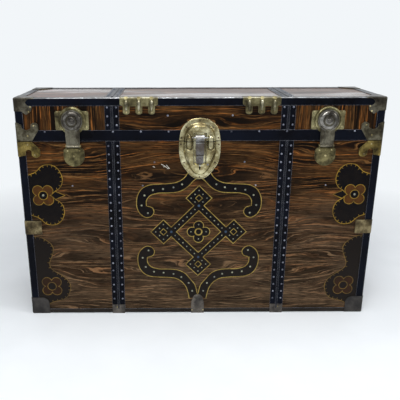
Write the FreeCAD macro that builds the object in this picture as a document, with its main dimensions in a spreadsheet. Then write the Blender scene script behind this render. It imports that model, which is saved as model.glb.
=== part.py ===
import FreeCAD, Part
import os
import re
import Sketcher

# A flat-topped travel trunk: a boarded case and a boarded lid, bound with sheet metal, with a
# front lock and hasp, two side latches, two back hinges and a leather handle on each end.
# Millimetres.  +X runs along the front, +Y to the back, +Z up.  The origin is on the floor,
# under the middle of the whole trunk.

SIZES = (
    # the whole trunk, over its corner clamps
    ("overall_width", "914"),
    ("overall_depth", "254"),
    ("overall_height", "587.5"),
    ("lid_height", "107"),
    # boards, and the rim strips that locate the lid
    ("case_board", "10"),
    ("lid_board", "9"),
    ("rim_thick", "4"),
    ("rim_rise", "10"),
    ("rim_drop", "30"),
    # sheet metal
    ("binding_thick", "1.2"),
    ("clamp_thick", "1.2"),
    ("skin", "=binding_thick + clamp_thick"),
    ("edge_bevel", "1.6"),
    ("clamp_bevel", "2.4"),
    ("corner_binding_width", "18"),
    ("top_binding_width", "18"),
    ("bottom_binding_height", "11"),
    ("valance_height", "=27 * lid_scale"),
    ("valance_thick", "1.5"),
    ("band_share", "0.238"),
    ("band_width", "35"),
    ("bead_width", "6"),
    ("bead_top", "3"),
    ("bead_rise", "1.5"),
    # clamps at the corners of the parting line
    ("case_clamp_width", "54"),
    ("case_clamp_drop", "41"),
    ("case_clamp_lobe", "21"),
    ("clamp_notch", "15"),
    ("clamp_notch_top", "21"),
    ("lid_clamp_width", "=54 * lid_scale"),
    ("lid_clamp_rise", "=46 * lid_scale"),
    ("lid_clamp_lobe", "=18 * lid_scale"),
    ("lid_clamp_dip", "=28 * lid_scale"),
    ("lid_clamp_post", "=13 * lid_scale"),
    # caps on the corners of the lid and of the bottom
    ("top_cap_width", "=48 * lid_scale"),
    ("top_cap_drop", "=39 * lid_scale"),
    ("top_cap_foot", "=15 * lid_scale"),
    ("top_cap_horn", "=42 * lid_scale"),
    ("top_cap_waist", "=27 * lid_scale"),
    ("top_cap_point", "=8.5 * lid_scale"),
    ("top_cap_arm_lap", "1"),
    ("top_cap_arm", "=clamp_bevel - skin + top_cap_arm_lap"),
    ("top_cap_scoop", "0.35"),
    ("bottom_cap_width", "46"),
    ("bottom_cap_height", "46"),
    ("bottom_cap_round", "18"),
    # smaller clamps
    ("bracket_width", "42"),
    ("bracket_height", "37"),
    ("bracket_share", "0.5255"),
    ("bracket_middle", "=bracket_share * parting_height"),
    ("foot_clamp_width", "34"),
    ("foot_clamp_height", "26"),
    ("bell_width", "35"),
    ("bell_height", "54"),
    ("bell_skirt", "20"),
    ("bell_neck", "24"),
    ("bell_neck_height", "46"),
    ("under_leaf", "14"),
    ("edge_clamp_inset", "67"),
    ("edge_clamp_width", "93"),
    ("edge_clamp_depth", "=15 * lid_scale"),
    ("finger_pitch", "31"),
    ("finger_width", "=16 * lid_scale"),
    ("finger_drop", "=39 * lid_scale"),
    ("finger_gap_top", "=19 * lid_scale"),
    ("finger_rib", "=8 * lid_scale"),
    ("finger_rib_rise", "2.4"),
    ("edge_clamp_reach", "22"),
    # lock
    ("lock_half_width", "=53 * lid_scale"),
    ("lock_top", "=57 * lid_scale"),
    ("lock_drop", "102.5"),
    ("lock_shoulder", "38"),
    ("lock_waist_half", "=47.5 * lid_scale"),
    ("lock_waist", "56"),
    ("lock_tip_half", "24"),
    ("lock_tip", "90"),
    ("lock_margin", "=10 * lid_scale"),
    ("lock_dome_out", "13"),
    ("lock_dome_slope", "4"),
    ("dome_tip_radius", "18"),
    ("dome_side_angle", "64"),
    ("dome_shoulder_radius", "30"),
    ("dome_shoulder", "12"),
    ("lock_channel_half", "14"),
    ("lock_channel_top", "=21 * lid_scale"),
    ("lock_channel_drop", "58"),
    ("lock_channel_past", "1"),
    ("boss_spacing", "=28 * lid_scale"),
    ("boss_width", "=14.5 * lid_scale"),
    ("boss_top", "=16 * lid_scale"),
    ("boss_drop", "22"),
    ("boss_rise", "3"),
    ("keyhole_height", "67"),
    ("keyhole_radius", "2.6"),
    ("keyhole_slot", "2.4"),
    ("keyhole_slot_drop", "9"),
    ("keyhole_depth", "6"),
    # hasp of the lock
    ("hasp_half_width", "10.5"),
    ("hasp_pivot_out", "10"),
    ("hasp_pivot_rise", "9.5"),
    ("hasp_barrel_radius", "7"),
    ("hasp_neck_thick", "2.6"),
    ("hasp_plate_thick", "3"),
    ("hasp_plate_top", "1.5"),
    ("hasp_plate_end", "35"),
    ("hasp_tip_end", "55"),
    ("hasp_tip_half", "9"),
    ("hasp_tip_thick", "1.6"),
    ("hasp_tip_corner", "3"),
    ("hasp_tip_lap", "1"),
    ("hasp_knob_radius", "3.4"),
    ("hasp_knob_drop", "46"),
    ("hasp_knob_rise", "6"),
    ("hasp_pin_radius", "2"),
    ("hasp_pin_seat", "5"),
    ("staple_width", "6"),
    ("staple_reach", "5"),
    ("staple_top", "20"),
    ("staple_bottom", "34"),
    ("staple_eye", "2.2"),
    # side latches
    ("latch_inset", "141"),
    ("latch_dome_height", "=51 * lid_scale"),
    ("strike_half_width", "=41 * lid_scale"),
    ("strike_half_height", "=23 * lid_scale"),
    ("strike_boss_radius", "=34 * lid_scale"),
    ("strike_boss_margin", "3"),
    ("strike_boss_rise", "2"),
    ("strike_boss_slope", "1.6"),
    ("lever_back", "6"),
    ("lever_thick", "2"),
    ("lever_rim_radius", "=26 * lid_scale"),
    ("lever_step_radius", "=19.5 * lid_scale"),
    ("lever_boss_radius", "=12 * lid_scale"),
    ("lever_rim_out", "9"),
    ("lever_step_out", "12"),
    ("lever_boss_out", "14.5"),
    ("lever_rivet_radius", "3"),
    ("lever_rivet_out", "16"),
    ("lever_arm_top_half", "18"),
    ("lever_arm_half", "16.5"),
    ("lever_ridge_half", "7"),
    ("lever_ridge_rise", "1.2"),
    ("latch_pivot_drop", "12.5"),
    ("latch_pivot_out", "7"),
    ("latch_barrel_radius", "3.4"),
    ("latch_pin_radius", "1.5"),
    ("keeper_top", "17.5"),
    ("keeper_top_half", "17"),
    ("keeper_shoulder", "26"),
    ("keeper_radius", "26"),
    ("keeper_middle", "38"),
    ("keeper_thick", "2"),
    ("ear_thick", "2"),
    ("ear_gap", "0.5"),
    ("ear_foot", "8"),
    # back hinges
    ("hinge_spacing", "300"),
    ("hinge_half_width", "28"),
    ("hinge_leaf_height", "42"),
    ("hinge_leaf_thick", "1.2"),
    ("hinge_corner", "12"),
    ("hinge_axis_out", "6"),
    ("knuckle_radius", "4.5"),
    ("knuckle_split", "10"),
    ("knuckle_gap", "0.3"),
    ("hinge_pin_radius", "2"),
    ("running_clearance", "0.08"),
    # end handles
    ("handle_gap", "7"),
    ("handle_height", "=bracket_middle + bracket_height / 2 + handle_gap + loop_half_height"),
    ("strap_overhang", "12"),
    ("strap_half_length", "=loop_centre + strap_overhang"),
    ("strap_width", "26"),
    ("strap_thick", "5"),
    ("strap_lift", "20"),
    ("strap_bend_gap", "18"),
    ("strap_flat_half", "=loop_centre - strap_bend_gap"),
    ("loop_half_length", "21"),
    ("loop_half_height", "22"),
    ("loop_corner", "7"),
    ("loop_gap", "1.6"),
    ("loop_centre", "=board_depth / 2 - corner_binding_width - loop_gap - loop_half_length"),
    ("loop_saddle_half", "11"),
    # the lid's hardware is drawn for a lid 107 high, and follows the lid's own height
    ("lid_scale", "=lid_height / 107"),
    # worked out from the values above
    ("parting_height", "=overall_height - lid_height"),
    ("band_centre", "=band_share * overall_width"),
    ("edge_clamp_centre", "=band_centre - edge_clamp_inset"),
    ("latch_centre", "=overall_width / 2 - latch_inset"),
    ("board_width", "=overall_width - 2 * skin"),
    ("board_depth", "=overall_depth - 2 * skin"),
    ("foot_height", "=skin"),
    ("lid_top", "=overall_height - skin"),
    ("front_reach", "=hasp_pivot_out + hasp_barrel_radius"),
    ("back_reach", "=hinge_axis_out + knuckle_radius"),
    ("depth_shift", "=(front_reach - back_reach) / 2"),
    ("side_face", "=board_width / 2"),
    ("front_face", "=depth_shift - board_depth / 2"),
    ("back_face", "=depth_shift + board_depth / 2"),
    ("plate_out", "=valance_thick + clamp_thick"),
    ("inner_half_width", "=side_face - case_board"),
    ("inner_half_depth", "=board_depth / 2 - case_board"),
)
NAMES = set(name for name, value in SIZES)
# An arc's bulge is the tangent of a quarter of its angle.
ROUND = "0.41421"  # a quarter circle
ARCH = "0.57735"  # a third of a circle
LOCK_TIP_BULGE = "0.22"
LOCK_SHOULDER_BULGE = "0.155"
STRIKE_BULGE = "0.2"
KEEPER_SHOULDER_BULGE = "0.35"
BELL_SIDE_BULGE = "0.12"
BELL_HEAD_BULGE = "0.3"
STRAP_BEND_BULGE = "0.15"
STRAP_BOW_BULGE = "0.05"
TOUCHING = 0.01  # how near two places have to be to count as one

doc = FreeCAD.newDocument("travel_trunk")
sheet = doc.addObject("Spreadsheet::Sheet", "Sizes")
for row, (name, value) in enumerate(SIZES, start=1):
    sheet.set("A%d" % row, name)
    sheet.set("B%d" % row, value)
    sheet.setAlias("B%d" % row, name)
doc.recompute()


def bound(text):
    """Writes an expression of plain names as one that points at the sheet."""
    def pointed(word):
        return "Sizes." + word.group() if word.group() in NAMES else word.group()

    return re.sub("[a-z_]+", pointed, text)


def number(text):
    """The present value of an expression."""
    return float(sheet.evalExpression(bound(text)))


def bind(thing, **expressions):
    """Binds properties of an object; a double underscore stands for a dot."""
    for name, text in expressions.items():
        thing.setExpression(name.replace("__", "."), bound(text))


def place(thing, x="0", y="0", z="0"):
    bind(thing, Placement__Base__x=x, Placement__Base__y=y, Placement__Base__z=z)


def block(label, length, width, height, x, y, z):
    """A board or strip, from its low corner."""
    made = doc.addObject("Part::Box", label)
    bind(made, Length=length, Width=width, Height=height)
    place(made, x, y, z)
    return made


def rod(label, radius, length, x, y, z):
    """A pin along X, from its left end."""
    made = doc.addObject("Part::Cylinder", label)
    bind(made, Radius=radius, Height=length)
    made.Placement.Rotation = FreeCAD.Rotation(FreeCAD.Vector(0, 1, 0), 90)
    place(made, x, y, z)
    return made


def body(label, x="0", y="0", z="0"):
    made = doc.addObject("PartDesign::Body", label)
    place(made, x, y, z)
    return made


def group(label, members):
    """Several separate solids as one sub-part."""
    made = doc.addObject("Part::Compound", label)
    made.Links = list(members)
    return made


def mirrored(label, source, across_depth=False):
    """The same piece on the other side, or on the back instead of the front."""
    made = doc.addObject("Part::Mirroring", label)
    made.Source = source
    made.Normal = FreeCAD.Vector(0, 1, 0) if across_depth else FreeCAD.Vector(1, 0, 0)
    bind(made, Base__y="depth_shift")
    return made


def seated(label, blank, *under):
    """Cuts out of a blank what it is bent over, so that it lies face to face on it."""
    made = doc.addObject("Part::Cut", label)
    made.Base = blank
    made.Tool = under[0] if len(under) == 1 else group(label + "_under", under)
    return made


def with_mirror(right):
    """Closes the right half of a symmetric outline with its mirror image."""
    bulges = [corner[2] if len(corner) > 2 else "0" for corner in right] + ["0"]
    left = [("-(%s)" % right[index][0], right[index][1], bulges[index + 1])
            for index in range(len(right) - 1, -1, -1) if right[index][0] != "0"]
    first = list(right[0][:2])
    if right[0][0] == "0":
        first.append(bulges[1])
    return [tuple(first)] + list(right[1:]) + left


def sketch_on(owner, plane, out="0"):
    """An empty sketch on an origin plane of its body, moved out along the plane's normal."""
    drawn = owner.newObject("Sketcher::SketchObject", owner.Name + "_outline")
    drawn.AttachmentSupport = [([each for each in owner.Origin.OriginFeatures if each.Role == plane][0], "")]
    drawn.MapMode = "FlatFace"
    bind(drawn, AttachmentOffset__Base__z=out)
    return drawn


def fix(drawn, kind, value, *where):
    """A sketch dimension bound to an expression."""
    index = drawn.addConstraint(Sketcher.Constraint(kind, *where, number(value)))
    drawn.setExpression("Constraints[%d]" % index, bound(value))


def outline(owner, plane, corners, out="0"):
    """A closed anticlockwise outline.  A corner is (across, up), or (across, up, bulge) where an arc
    ends there: the bulge is the tangent of a quarter of the arc's angle, and negative for a hollow."""
    drawn = sketch_on(owner, plane, out)
    spots = [FreeCAD.Vector(number(corner[0]), number(corner[1]), 0) for corner in corners]
    ends = []
    for index, corner in enumerate(corners):
        start, stop = spots[index - 1], spots[index]
        bulge = number(corner[2]) if len(corner) > 2 else 0
        if bulge:
            chord = stop - start
            side = FreeCAD.Vector(chord.y, -chord.x, 0)
            middle = (start + stop) / 2 + side * (bulge / 2)
            drawn.addGeometry(Part.Arc(start, middle, stop))
            ends.append((1, 2) if bulge > 0 else (2, 1))
        else:
            drawn.addGeometry(Part.LineSegment(start, stop))
            ends.append((1, 2))
    for index, corner in enumerate(corners):
        following = (index + 1) % len(corners)
        last = ends[index][1]
        drawn.addConstraint(Sketcher.Constraint("Coincident", index, last, following, ends[following][0]))
        fix(drawn, "DistanceX", corner[0], -1, 1, index, last)
        fix(drawn, "DistanceY", corner[1], -1, 1, index, last)
    for index, corner in enumerate(corners):
        if len(corner) > 2 and number(corner[2]):
            before = corners[index - 1]
            chord = "hypot((%s) - (%s); (%s) - (%s))" % (corner[0], before[0], corner[1], before[1])
            fix(drawn, "Radius", "%s * (1 + (%s)^2) / (4 * abs(%s))" % (chord, corner[2], corner[2]), index)
    return drawn


def circle(owner, plane, across, up, radius, out="0"):
    """A circle on an origin plane of its body."""
    drawn = sketch_on(owner, plane, out)
    middle = FreeCAD.Vector(number(across), number(up), 0)
    drawn.addGeometry(Part.Circle(middle, FreeCAD.Vector(0, 0, 1), number(radius)))
    fix(drawn, "DistanceX", across, -1, 1, 0, 3)
    fix(drawn, "DistanceY", up, -1, 1, 0, 3)
    fix(drawn, "Radius", radius, 0)
    return drawn


def pad(owner, drawn, length, reverse=False):
    """Adds the drawn outline to its body, along the sketch's normal."""
    made = owner.newObject("PartDesign::Pad", owner.Name + "_pad")
    made.Profile = drawn
    made.Reversed = reverse
    bind(made, Length=length)
    return made


def pocket(owner, drawn, length, reverse=False):
    """Cuts the drawn outline out of its body, against the sketch's normal."""
    made = owner.newObject("PartDesign::Pocket", owner.Name + "_pocket")
    made.Profile = drawn
    made.Reversed = reverse
    bind(made, Length=length)
    return made


def across_pad(owner, corners, left, width, reverse=False):
    """A pad of a side outline, given as (outward, up), that starts at a stretch along X."""
    return pad(owner, outline(owner, "YZ_Plane", corners, left), width, reverse)


def bevel_edges(owner, width, chosen):
    """Bevels the edges that the test picks, with the sizes as they are."""
    doc.recompute()
    tip = owner.Tip
    picked = ["Edge%d" % count for count, edge in enumerate(tip.Shape.Edges, start=1) if chosen(edge)]
    made = owner.newObject("PartDesign::Chamfer", owner.Name + "_bevel")
    made.Base = (tip, picked)
    bind(made, Size=width)
    return made


def lies(edge, **limits):
    """True where both ends of an edge have the stated coordinates."""
    for axis, value in limits.items():
        for vertex in edge.Vertexes:
            if abs(getattr(vertex.Point, axis) - value) > TOUCHING:
                return False
    return True


# Boards

def case_boards():
    """The bottom board carries the front and back, and the ends stand between them."""
    width = "board_width"
    left = "-side_face"
    wall = "parting_height - foot_height - case_board"
    floor = "foot_height + case_board"
    end_depth = "board_depth - 2 * case_board"
    end_front = "front_face + case_board"
    return [
        block("case_bottom_board", width, "board_depth", "case_board", left, "front_face", "foot_height"),
        block("case_front_board", width, "case_board", wall, left, "front_face", floor),
        block("case_back_board", width, "case_board", wall, left, "back_face - case_board", floor),
        block("case_left_end", "case_board", end_depth, wall, left, end_front, floor),
        block("case_right_end", "case_board", end_depth, wall, "side_face - case_board", end_front, floor),
    ]


def lid_boards():
    """The same construction upside down, in thinner board."""
    width = "board_width"
    left = "-side_face"
    low = "parting_height"
    wall = "lid_top - lid_board - parting_height"
    end_depth = "board_depth - 2 * lid_board"
    end_front = "front_face + lid_board"
    top = "lid_top - lid_board"
    return [
        block("lid_top_board", width, "board_depth", "lid_board", left, "front_face", top),
        block("lid_front_board", width, "lid_board", wall, left, "front_face", low),
        block("lid_back_board", width, "lid_board", wall, left, "back_face - lid_board", low),
        block("lid_left_end", "lid_board", end_depth, wall, left, end_front, low),
        block("lid_right_end", "lid_board", end_depth, wall, "side_face - lid_board", end_front, low),
    ]


def rim_strips():
    """Four strips inside the top of the case that stand up into the lid."""
    height = "rim_drop + rim_rise"
    low = "parting_height - rim_drop"
    long = "2 * inner_half_width"
    short = "2 * inner_half_depth - 2 * rim_thick"
    front = "depth_shift - inner_half_depth"
    right = "inner_half_width - rim_thick"
    back = "depth_shift + inner_half_depth - rim_thick"
    return group("case_rim", [
        block("rim_front", long, "rim_thick", height, "-inner_half_width", front, low),
        block("rim_back", long, "rim_thick", height, "-inner_half_width", back, low),
        block("rim_left", "rim_thick", short, height, "-inner_half_width", front + " + rim_thick", low),
        block("rim_right", "rim_thick", short, height, right, front + " + rim_thick", low),
    ])


# Edge bindings, valance and bands

def corner_bindings(label, low, height):
    """Four upright angles of sheet metal, bevelled on the outer edge."""
    corners = [("-binding_thick + edge_bevel", "-binding_thick"),
               ("corner_binding_width", "-binding_thick"),
               ("corner_binding_width", "0"),
               ("0", "0"),
               ("0", "corner_binding_width"),
               ("-binding_thick", "corner_binding_width"),
               ("-binding_thick", "-binding_thick + edge_bevel")]
    left = body(label + "_front_left", "-side_face", "front_face", low)
    pad(left, outline(left, "XY_Plane", corners), height)
    return four_corners(label, left)


def edge_frame(label, level, height, width, upward):
    """A frame of angle section round all four edges of the top or of the bottom."""
    frame = body(label, "0", "depth_shift", level)
    half = "side_face + binding_thick"
    deep = "board_depth / 2 + binding_thick"
    ring = with_mirror([(half, "-(%s)" % deep), (half, deep)])
    inner = with_mirror([("side_face", "-board_depth / 2"), ("side_face", "board_depth / 2")])
    window = with_mirror([("side_face - (%s)" % width, "-board_depth / 2 + (%s)" % width),
                          ("side_face - (%s)" % width, "board_depth / 2 - (%s)" % width)])
    rise = "binding_thick" if upward else "-binding_thick"
    far = "-(%s)" % height if upward else height
    low = far if upward else rise
    pad(frame, outline(frame, "XY_Plane", ring, low), "(%s) + binding_thick" % height)
    outer_level = number(rise)

    def outer(edge):
        upright = abs(edge.Vertexes[0].Point.z - edge.Vertexes[1].Point.z) > TOUCHING
        return upright or lies(edge, z=outer_level)

    bevel_edges(frame, "edge_bevel", outer)
    if upward:
        pocket(frame, outline(frame, "XY_Plane", inner), height)
        pocket(frame, outline(frame, "XY_Plane", window, "edge_bevel"), "2 * edge_bevel")
    else:
        pocket(frame, outline(frame, "XY_Plane", inner), height, reverse=True)
        pocket(frame, outline(frame, "XY_Plane", window, "-edge_bevel"), "2 * edge_bevel", reverse=True)
    return frame


def valance():
    """The strip round the lower edge of the lid: along the front and both ends."""
    strip = body("lid_valance", z="parting_height")
    out = "side_face + valance_thick"
    front = "front_face - valance_thick"
    right = [(out + " - edge_bevel", front),
             (out, front + " + edge_bevel"),
             (out, "back_face - edge_bevel"),
             ("side_face", "back_face - edge_bevel"),
             ("side_face", "front_face")]
    pad(strip, outline(strip, "XY_Plane", with_mirror(right)), "valance_height")
    return strip


def band_section():
    """A flat strap with a raised bead down its middle, seen along its length."""
    return with_mirror([("band_width / 2", "0"),
                        ("band_width / 2", "binding_thick"),
                        ("bead_width / 2", "binding_thick"),
                        ("bead_top / 2", "binding_thick + bead_rise")])


def band(label, x, face, low, height, outward):
    """An upright length of band on the front or the back."""
    strap = body(label, x, face, low)
    section = band_section()
    if outward < 0:
        section = [(across, "-(%s)" % up) for across, up in (corner[:2] for corner in reversed(section))]
    pad(strap, outline(strap, "XY_Plane", section), height)
    return strap


def lid_band(label, x):
    """Three lengths of band: down the front, over the top, and down the back."""
    low = "parting_height + valance_height"
    high = "lid_top - top_binding_width"
    front = band(label + "_front", x, "front_face", low, "(%s) - (%s)" % (high, low), -1)
    back = band(label + "_back", x, "back_face", "parting_height", high + " - parting_height", 1)
    top = body(label + "_top", x, "0", "lid_top")
    run = "board_depth - 2 * top_binding_width"
    start = "-(front_face + top_binding_width)"
    pad(top, outline(top, "XZ_Plane", band_section(), start), run, reverse=True)
    return group(label, [front, top, back])


# Clamps and caps

def bent_clamp(label, level, corners):
    """A sheet clamp bent round the front left upright edge, with the same leaf on each face."""
    clamp = body(label, "-side_face", "front_face", level)
    pad(clamp, outline(clamp, "XZ_Plane", corners), "skin")
    pad(clamp, outline(clamp, "YZ_Plane", corners), "skin", reverse=True)
    edge = -number("skin")
    bevel_edges(clamp, "clamp_bevel", lambda each: lies(each, x=edge, y=edge))
    return clamp


def bent_cap(label, level, side, top, upward):
    """A corner cap: leaves on the front and the end, and one across the top or the bottom."""
    cap = body(label, "-side_face", "front_face", level)
    pad(cap, outline(cap, "XZ_Plane", side), "skin")
    pad(cap, outline(cap, "YZ_Plane", side), "skin", reverse=True)
    pad(cap, outline(cap, "XY_Plane", top), "skin", reverse=not upward)
    edge = -number("skin")
    level_edge = -edge if upward else edge

    def outer(each):
        upright = lies(each, x=edge, y=edge)
        return upright or lies(each, x=edge, z=level_edge) or lies(each, y=edge, z=level_edge)

    bevel_edges(cap, "clamp_bevel", outer)
    return cap


def four_corners(label, left):
    """A piece at the front left corner and its mirror images at the other three."""
    right = mirrored(label + "_front_right", left)
    return group(label, [left, right, mirrored(label + "_back_left", left, True),
                         mirrored(label + "_back_right", right, True)])


def case_clamp_outline():
    """A post at the corner, an arched notch, and a rounded lobe; flat on the parting line."""
    lobe_in = "case_clamp_width - case_clamp_lobe"
    lobe_low = "-(case_clamp_drop - %s * case_clamp_lobe / 2)" % ARCH
    post = lobe_in + " - clamp_notch"
    post_low = "-(case_clamp_drop - clamp_bevel)"
    notch_low = "-(clamp_notch_top + %s * clamp_notch / 2)" % ARCH
    return [("-skin", "0"),
            ("-skin", post_low),
            ("clamp_bevel", post_low),
            (post, lobe_low),
            (post, notch_low),
            (lobe_in, notch_low, "-" + ARCH),
            (lobe_in, lobe_low),
            ("case_clamp_width", lobe_low, ARCH),
            ("case_clamp_width", "-case_clamp_drop / 2"),
            (lobe_in, "0")]


def lid_clamp_outline():
    """The same clamp on the lid, with a rounded dip and a taller lobe."""
    lobe_in = "lid_clamp_width - lid_clamp_lobe"
    lobe_high = "lid_clamp_rise - %s * lid_clamp_lobe / 2" % ARCH
    dip = "lid_clamp_dip + %s * (%s - lid_clamp_post) / 2" % (ARCH, lobe_in)
    return [("-skin", "0"),
            (lobe_in, "0"),
            ("lid_clamp_width", "lid_clamp_dip"),
            ("lid_clamp_width", lobe_high),
            (lobe_in, lobe_high, ARCH),
            (lobe_in, dip),
            ("lid_clamp_post", dip, "-" + ARCH),
            ("lid_clamp_post", lobe_high),
            ("clamp_bevel", "lid_clamp_rise"),
            ("-skin", "lid_clamp_rise")]


def top_cap_outline():
    """Arm along the top edge, a scooped side that ends in a horn, and a pointed foot."""
    foot = "-(top_cap_drop - top_cap_point)"
    arm = "-top_cap_arm"
    return [("-skin", "skin"),
            ("-skin", foot),
            ("top_cap_foot", foot),
            ("top_cap_waist", "-top_cap_drop"),
            ("top_cap_horn - clamp_bevel", foot),
            ("top_cap_horn", "-top_cap_drop / 2"),
            ("top_cap_waist", "-top_cap_drop / 4", "-top_cap_scoop"),
            ("top_cap_horn", arm, "-top_cap_scoop"),
            ("top_cap_width", arm),
            ("top_cap_width", "skin")]


def bottom_cap_outline():
    """A square leaf with its free upper corner rounded."""
    return [("-skin", "-skin"),
            ("bottom_cap_width", "-skin"),
            ("bottom_cap_width", "bottom_cap_height - bottom_cap_round"),
            ("bottom_cap_width - bottom_cap_round", "bottom_cap_height", ROUND),
            ("-skin", "bottom_cap_height")]


def level_leaf(width):
    """The leaf of a cap that lies on the top or under the bottom, scooped on its inner side."""
    near = "(%s) / 4" % width
    return [("-skin", "-skin"), (width, "-skin"), (width, near), (near, width), ("-skin", width)]


def bracket_outline():
    """A plain oblong."""
    return [("-skin", "-bracket_height / 2"), ("bracket_width", "-bracket_height / 2"),
            ("bracket_width", "bracket_height / 2"), ("-skin", "bracket_height / 2")]


def foot_clamp(label, x, face_outline, under):
    """A small plate on the front of the bottom edge, bent a little way under it."""
    clamp = body(label + "_blank", x, "front_face", "foot_height")
    pad(clamp, outline(clamp, "XZ_Plane", face_outline), "skin")
    half = face_outline[0][0]
    leaf = with_mirror([(half, "-skin"), (half, "under_leaf")])
    pad(clamp, outline(clamp, "XY_Plane", leaf), "skin", reverse=True)
    return seated(label, clamp, under)


def bell_outline():
    """Upright sides, shoulders that draw in a little, and a round head."""
    half = "bell_width / 2"
    return with_mirror([(half, "-skin"),
                        (half, "bell_skirt"),
                        ("bell_neck / 2", "bell_neck_height", BELL_SIDE_BULGE),
                        ("0", "bell_height", BELL_HEAD_BULGE)])


def edge_clamp(label, x, under):
    """A three-fingered clamp over the front top edge, with a rib along each finger."""
    clamp = body(label + "_blank", x, "front_face", "lid_top")
    half = "edge_clamp_width / 2"
    tip = "-(finger_drop - %s * finger_width / 2)" % ARCH
    corners = [(half, "skin"), ("-(%s)" % half, "skin"), ("-(%s)" % half, "-edge_clamp_depth")]
    for finger in (-1, 0, 1):
        left = "%d * finger_pitch - finger_width / 2" % finger
        right = left + " + finger_width"
        corners += [(left, "-finger_gap_top"), (left, tip), (right, tip, ARCH), (right, "-finger_gap_top")]
    corners.append((half, "-edge_clamp_depth"))
    pad(clamp, outline(clamp, "XZ_Plane", corners), "skin")
    leaf = with_mirror([(half, "-skin"), (half, "edge_clamp_reach")])
    pad(clamp, outline(clamp, "XY_Plane", leaf), "skin")
    edge = number("skin")
    bevel_edges(clamp, "clamp_bevel", lambda each: lies(each, y=-edge, z=edge))
    for finger in (-1, 0, 1):
        left = "%d * finger_pitch - finger_rib / 2" % finger
        low = "-(finger_drop - finger_width)"
        rib = [("-skin - finger_rib_rise", low),
               ("-skin", low + " - finger_rib / 2"),
               ("-skin / 2", low + " - finger_rib / 2"),
               ("-skin / 2", "skin / 2"),
               ("edge_clamp_reach - finger_rib", "skin / 2"),
               ("edge_clamp_reach - finger_rib", "skin"),
               ("edge_clamp_reach - 1.5 * finger_rib", "skin + finger_rib_rise / 2"),
               ("0", "skin + finger_rib_rise / 2"),
               ("-skin - finger_rib_rise", "-clamp_bevel")]
        across_pad(clamp, rib, left, "finger_rib")
    return seated(label, clamp, under)


# Lock

def lock_upper_plate(under):
    """The rounded top of the lock, on the lid: flange, dome, hasp channel and two half bosses."""
    plate = body("lock_upper_plate_blank", "0", "front_face", "parting_height")
    springing = "lock_top - lock_half_width"
    flange = with_mirror([("lock_half_width", "0"), ("lock_half_width", springing), ("0", "lock_top", ROUND)])
    pad(plate, outline(plate, "XZ_Plane", flange), "plate_out")
    foot = "lock_half_width - lock_margin"
    dome = with_mirror([(foot, "0"), (foot, springing), ("0", "lock_top - lock_margin", ROUND)])
    lock_dome(plate, dome)
    level = "boss_top - boss_width / 2"
    for side in ("boss_spacing", "-boss_spacing"):
        near, far = side + " - boss_width / 2", side + " + boss_width / 2"
        crown = [(far, level), (side, "boss_top", ROUND), (near, level, ROUND)]
        lock_boss(plate, [(near, "0"), (far, "0")] + crown)
    channel = with_mirror([("lock_channel_half", "-lock_channel_past"),
                           ("lock_channel_half", "lock_channel_top")])
    pocket(plate, outline(plate, "XZ_Plane", channel, "lock_dome_out"), "lock_dome_out - plate_out")
    bore = circle(plate, "YZ_Plane", "-hasp_pivot_out", "hasp_pivot_rise", "hasp_pin_radius",
                  "lock_channel_half + hasp_pin_seat")
    pocket(plate, bore, "2 * (lock_channel_half + hasp_pin_seat)")
    return seated("lock_upper_plate", plate, under)


def lock_dome(plate, dome):
    """A raised field with sloping sides and a rounded brim."""
    rise = "lock_dome_out - plate_out"
    pad(plate, outline(plate, "XZ_Plane", dome, "plate_out"), rise)
    front = -number("lock_dome_out")

    def brim(edge):
        return lies(edge, y=front) and not lies(edge, z=0)

    bevel_edges(plate, "lock_dome_slope", brim)


def lock_boss(plate, boss):
    """Half of a long raised boss, cut square at the parting line."""
    pad(plate, outline(plate, "XZ_Plane", boss, "plate_out"), "lock_dome_out + boss_rise - plate_out")


def lock_lower_plate():
    """The tapering lower part of the lock, on the case, with the keyhole."""
    plate = body("lock_lower_plate", "0", "front_face", "parting_height")
    flange = with_mirror([("0", "-lock_drop"),
                          ("lock_tip_half", "-lock_tip", LOCK_TIP_BULGE),
                          ("lock_waist_half", "-lock_waist"),
                          ("lock_half_width", "-lock_shoulder", LOCK_SHOULDER_BULGE),
                          ("lock_half_width", "0")])
    pad(plate, outline(plate, "XZ_Plane", flange), "plate_out")
    foot = "lock_half_width - lock_margin"
    turn_in = "dome_shoulder_radius * (1 - sin(dome_side_angle))"
    tip_half = "dome_tip_radius * sin(dome_side_angle)"
    side = "(%s - %s - %s) * tan(dome_side_angle)" % (foot, turn_in, tip_half)
    shoulder_low = "-(dome_shoulder + dome_shoulder_radius * cos(dome_side_angle))"
    tip_high = "%s - (%s)" % (shoulder_low, side)
    dome = with_mirror([("0", "%s - dome_tip_radius * (1 - cos(dome_side_angle))" % tip_high),
                        (tip_half, tip_high, "tan(dome_side_angle / 4)"),
                        ("%s - %s" % (foot, turn_in), shoulder_low),
                        (foot, "-dome_shoulder", "tan((90 - dome_side_angle) / 4)"),
                        (foot, "0")])
    lock_dome(plate, dome)
    level = "-(boss_drop - boss_width / 2)"
    for side in ("boss_spacing", "-boss_spacing"):
        near, far = side + " - boss_width / 2", side + " + boss_width / 2"
        foot = [(near, level), (side, "-boss_drop", ROUND), (far, level, ROUND)]
        lock_boss(plate, [(far, "0"), (near, "0")] + foot)
    channel = with_mirror([("lock_channel_half", "-lock_channel_drop"),
                           ("lock_channel_half", "lock_channel_past")])
    pocket(plate, outline(plate, "XZ_Plane", channel, "lock_dome_out"), "lock_dome_out - plate_out")
    keyhole = circle(plate, "XZ_Plane", "0", "-keyhole_height", "keyhole_radius", "lock_dome_out")
    pocket(plate, keyhole, "keyhole_depth")
    slot = with_mirror([("keyhole_slot / 2", "-(keyhole_height + keyhole_slot_drop)"),
                        ("keyhole_slot / 2", "-keyhole_height")])
    pocket(plate, outline(plate, "XZ_Plane", slot, "lock_dome_out"), "keyhole_depth")
    return plate


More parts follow.
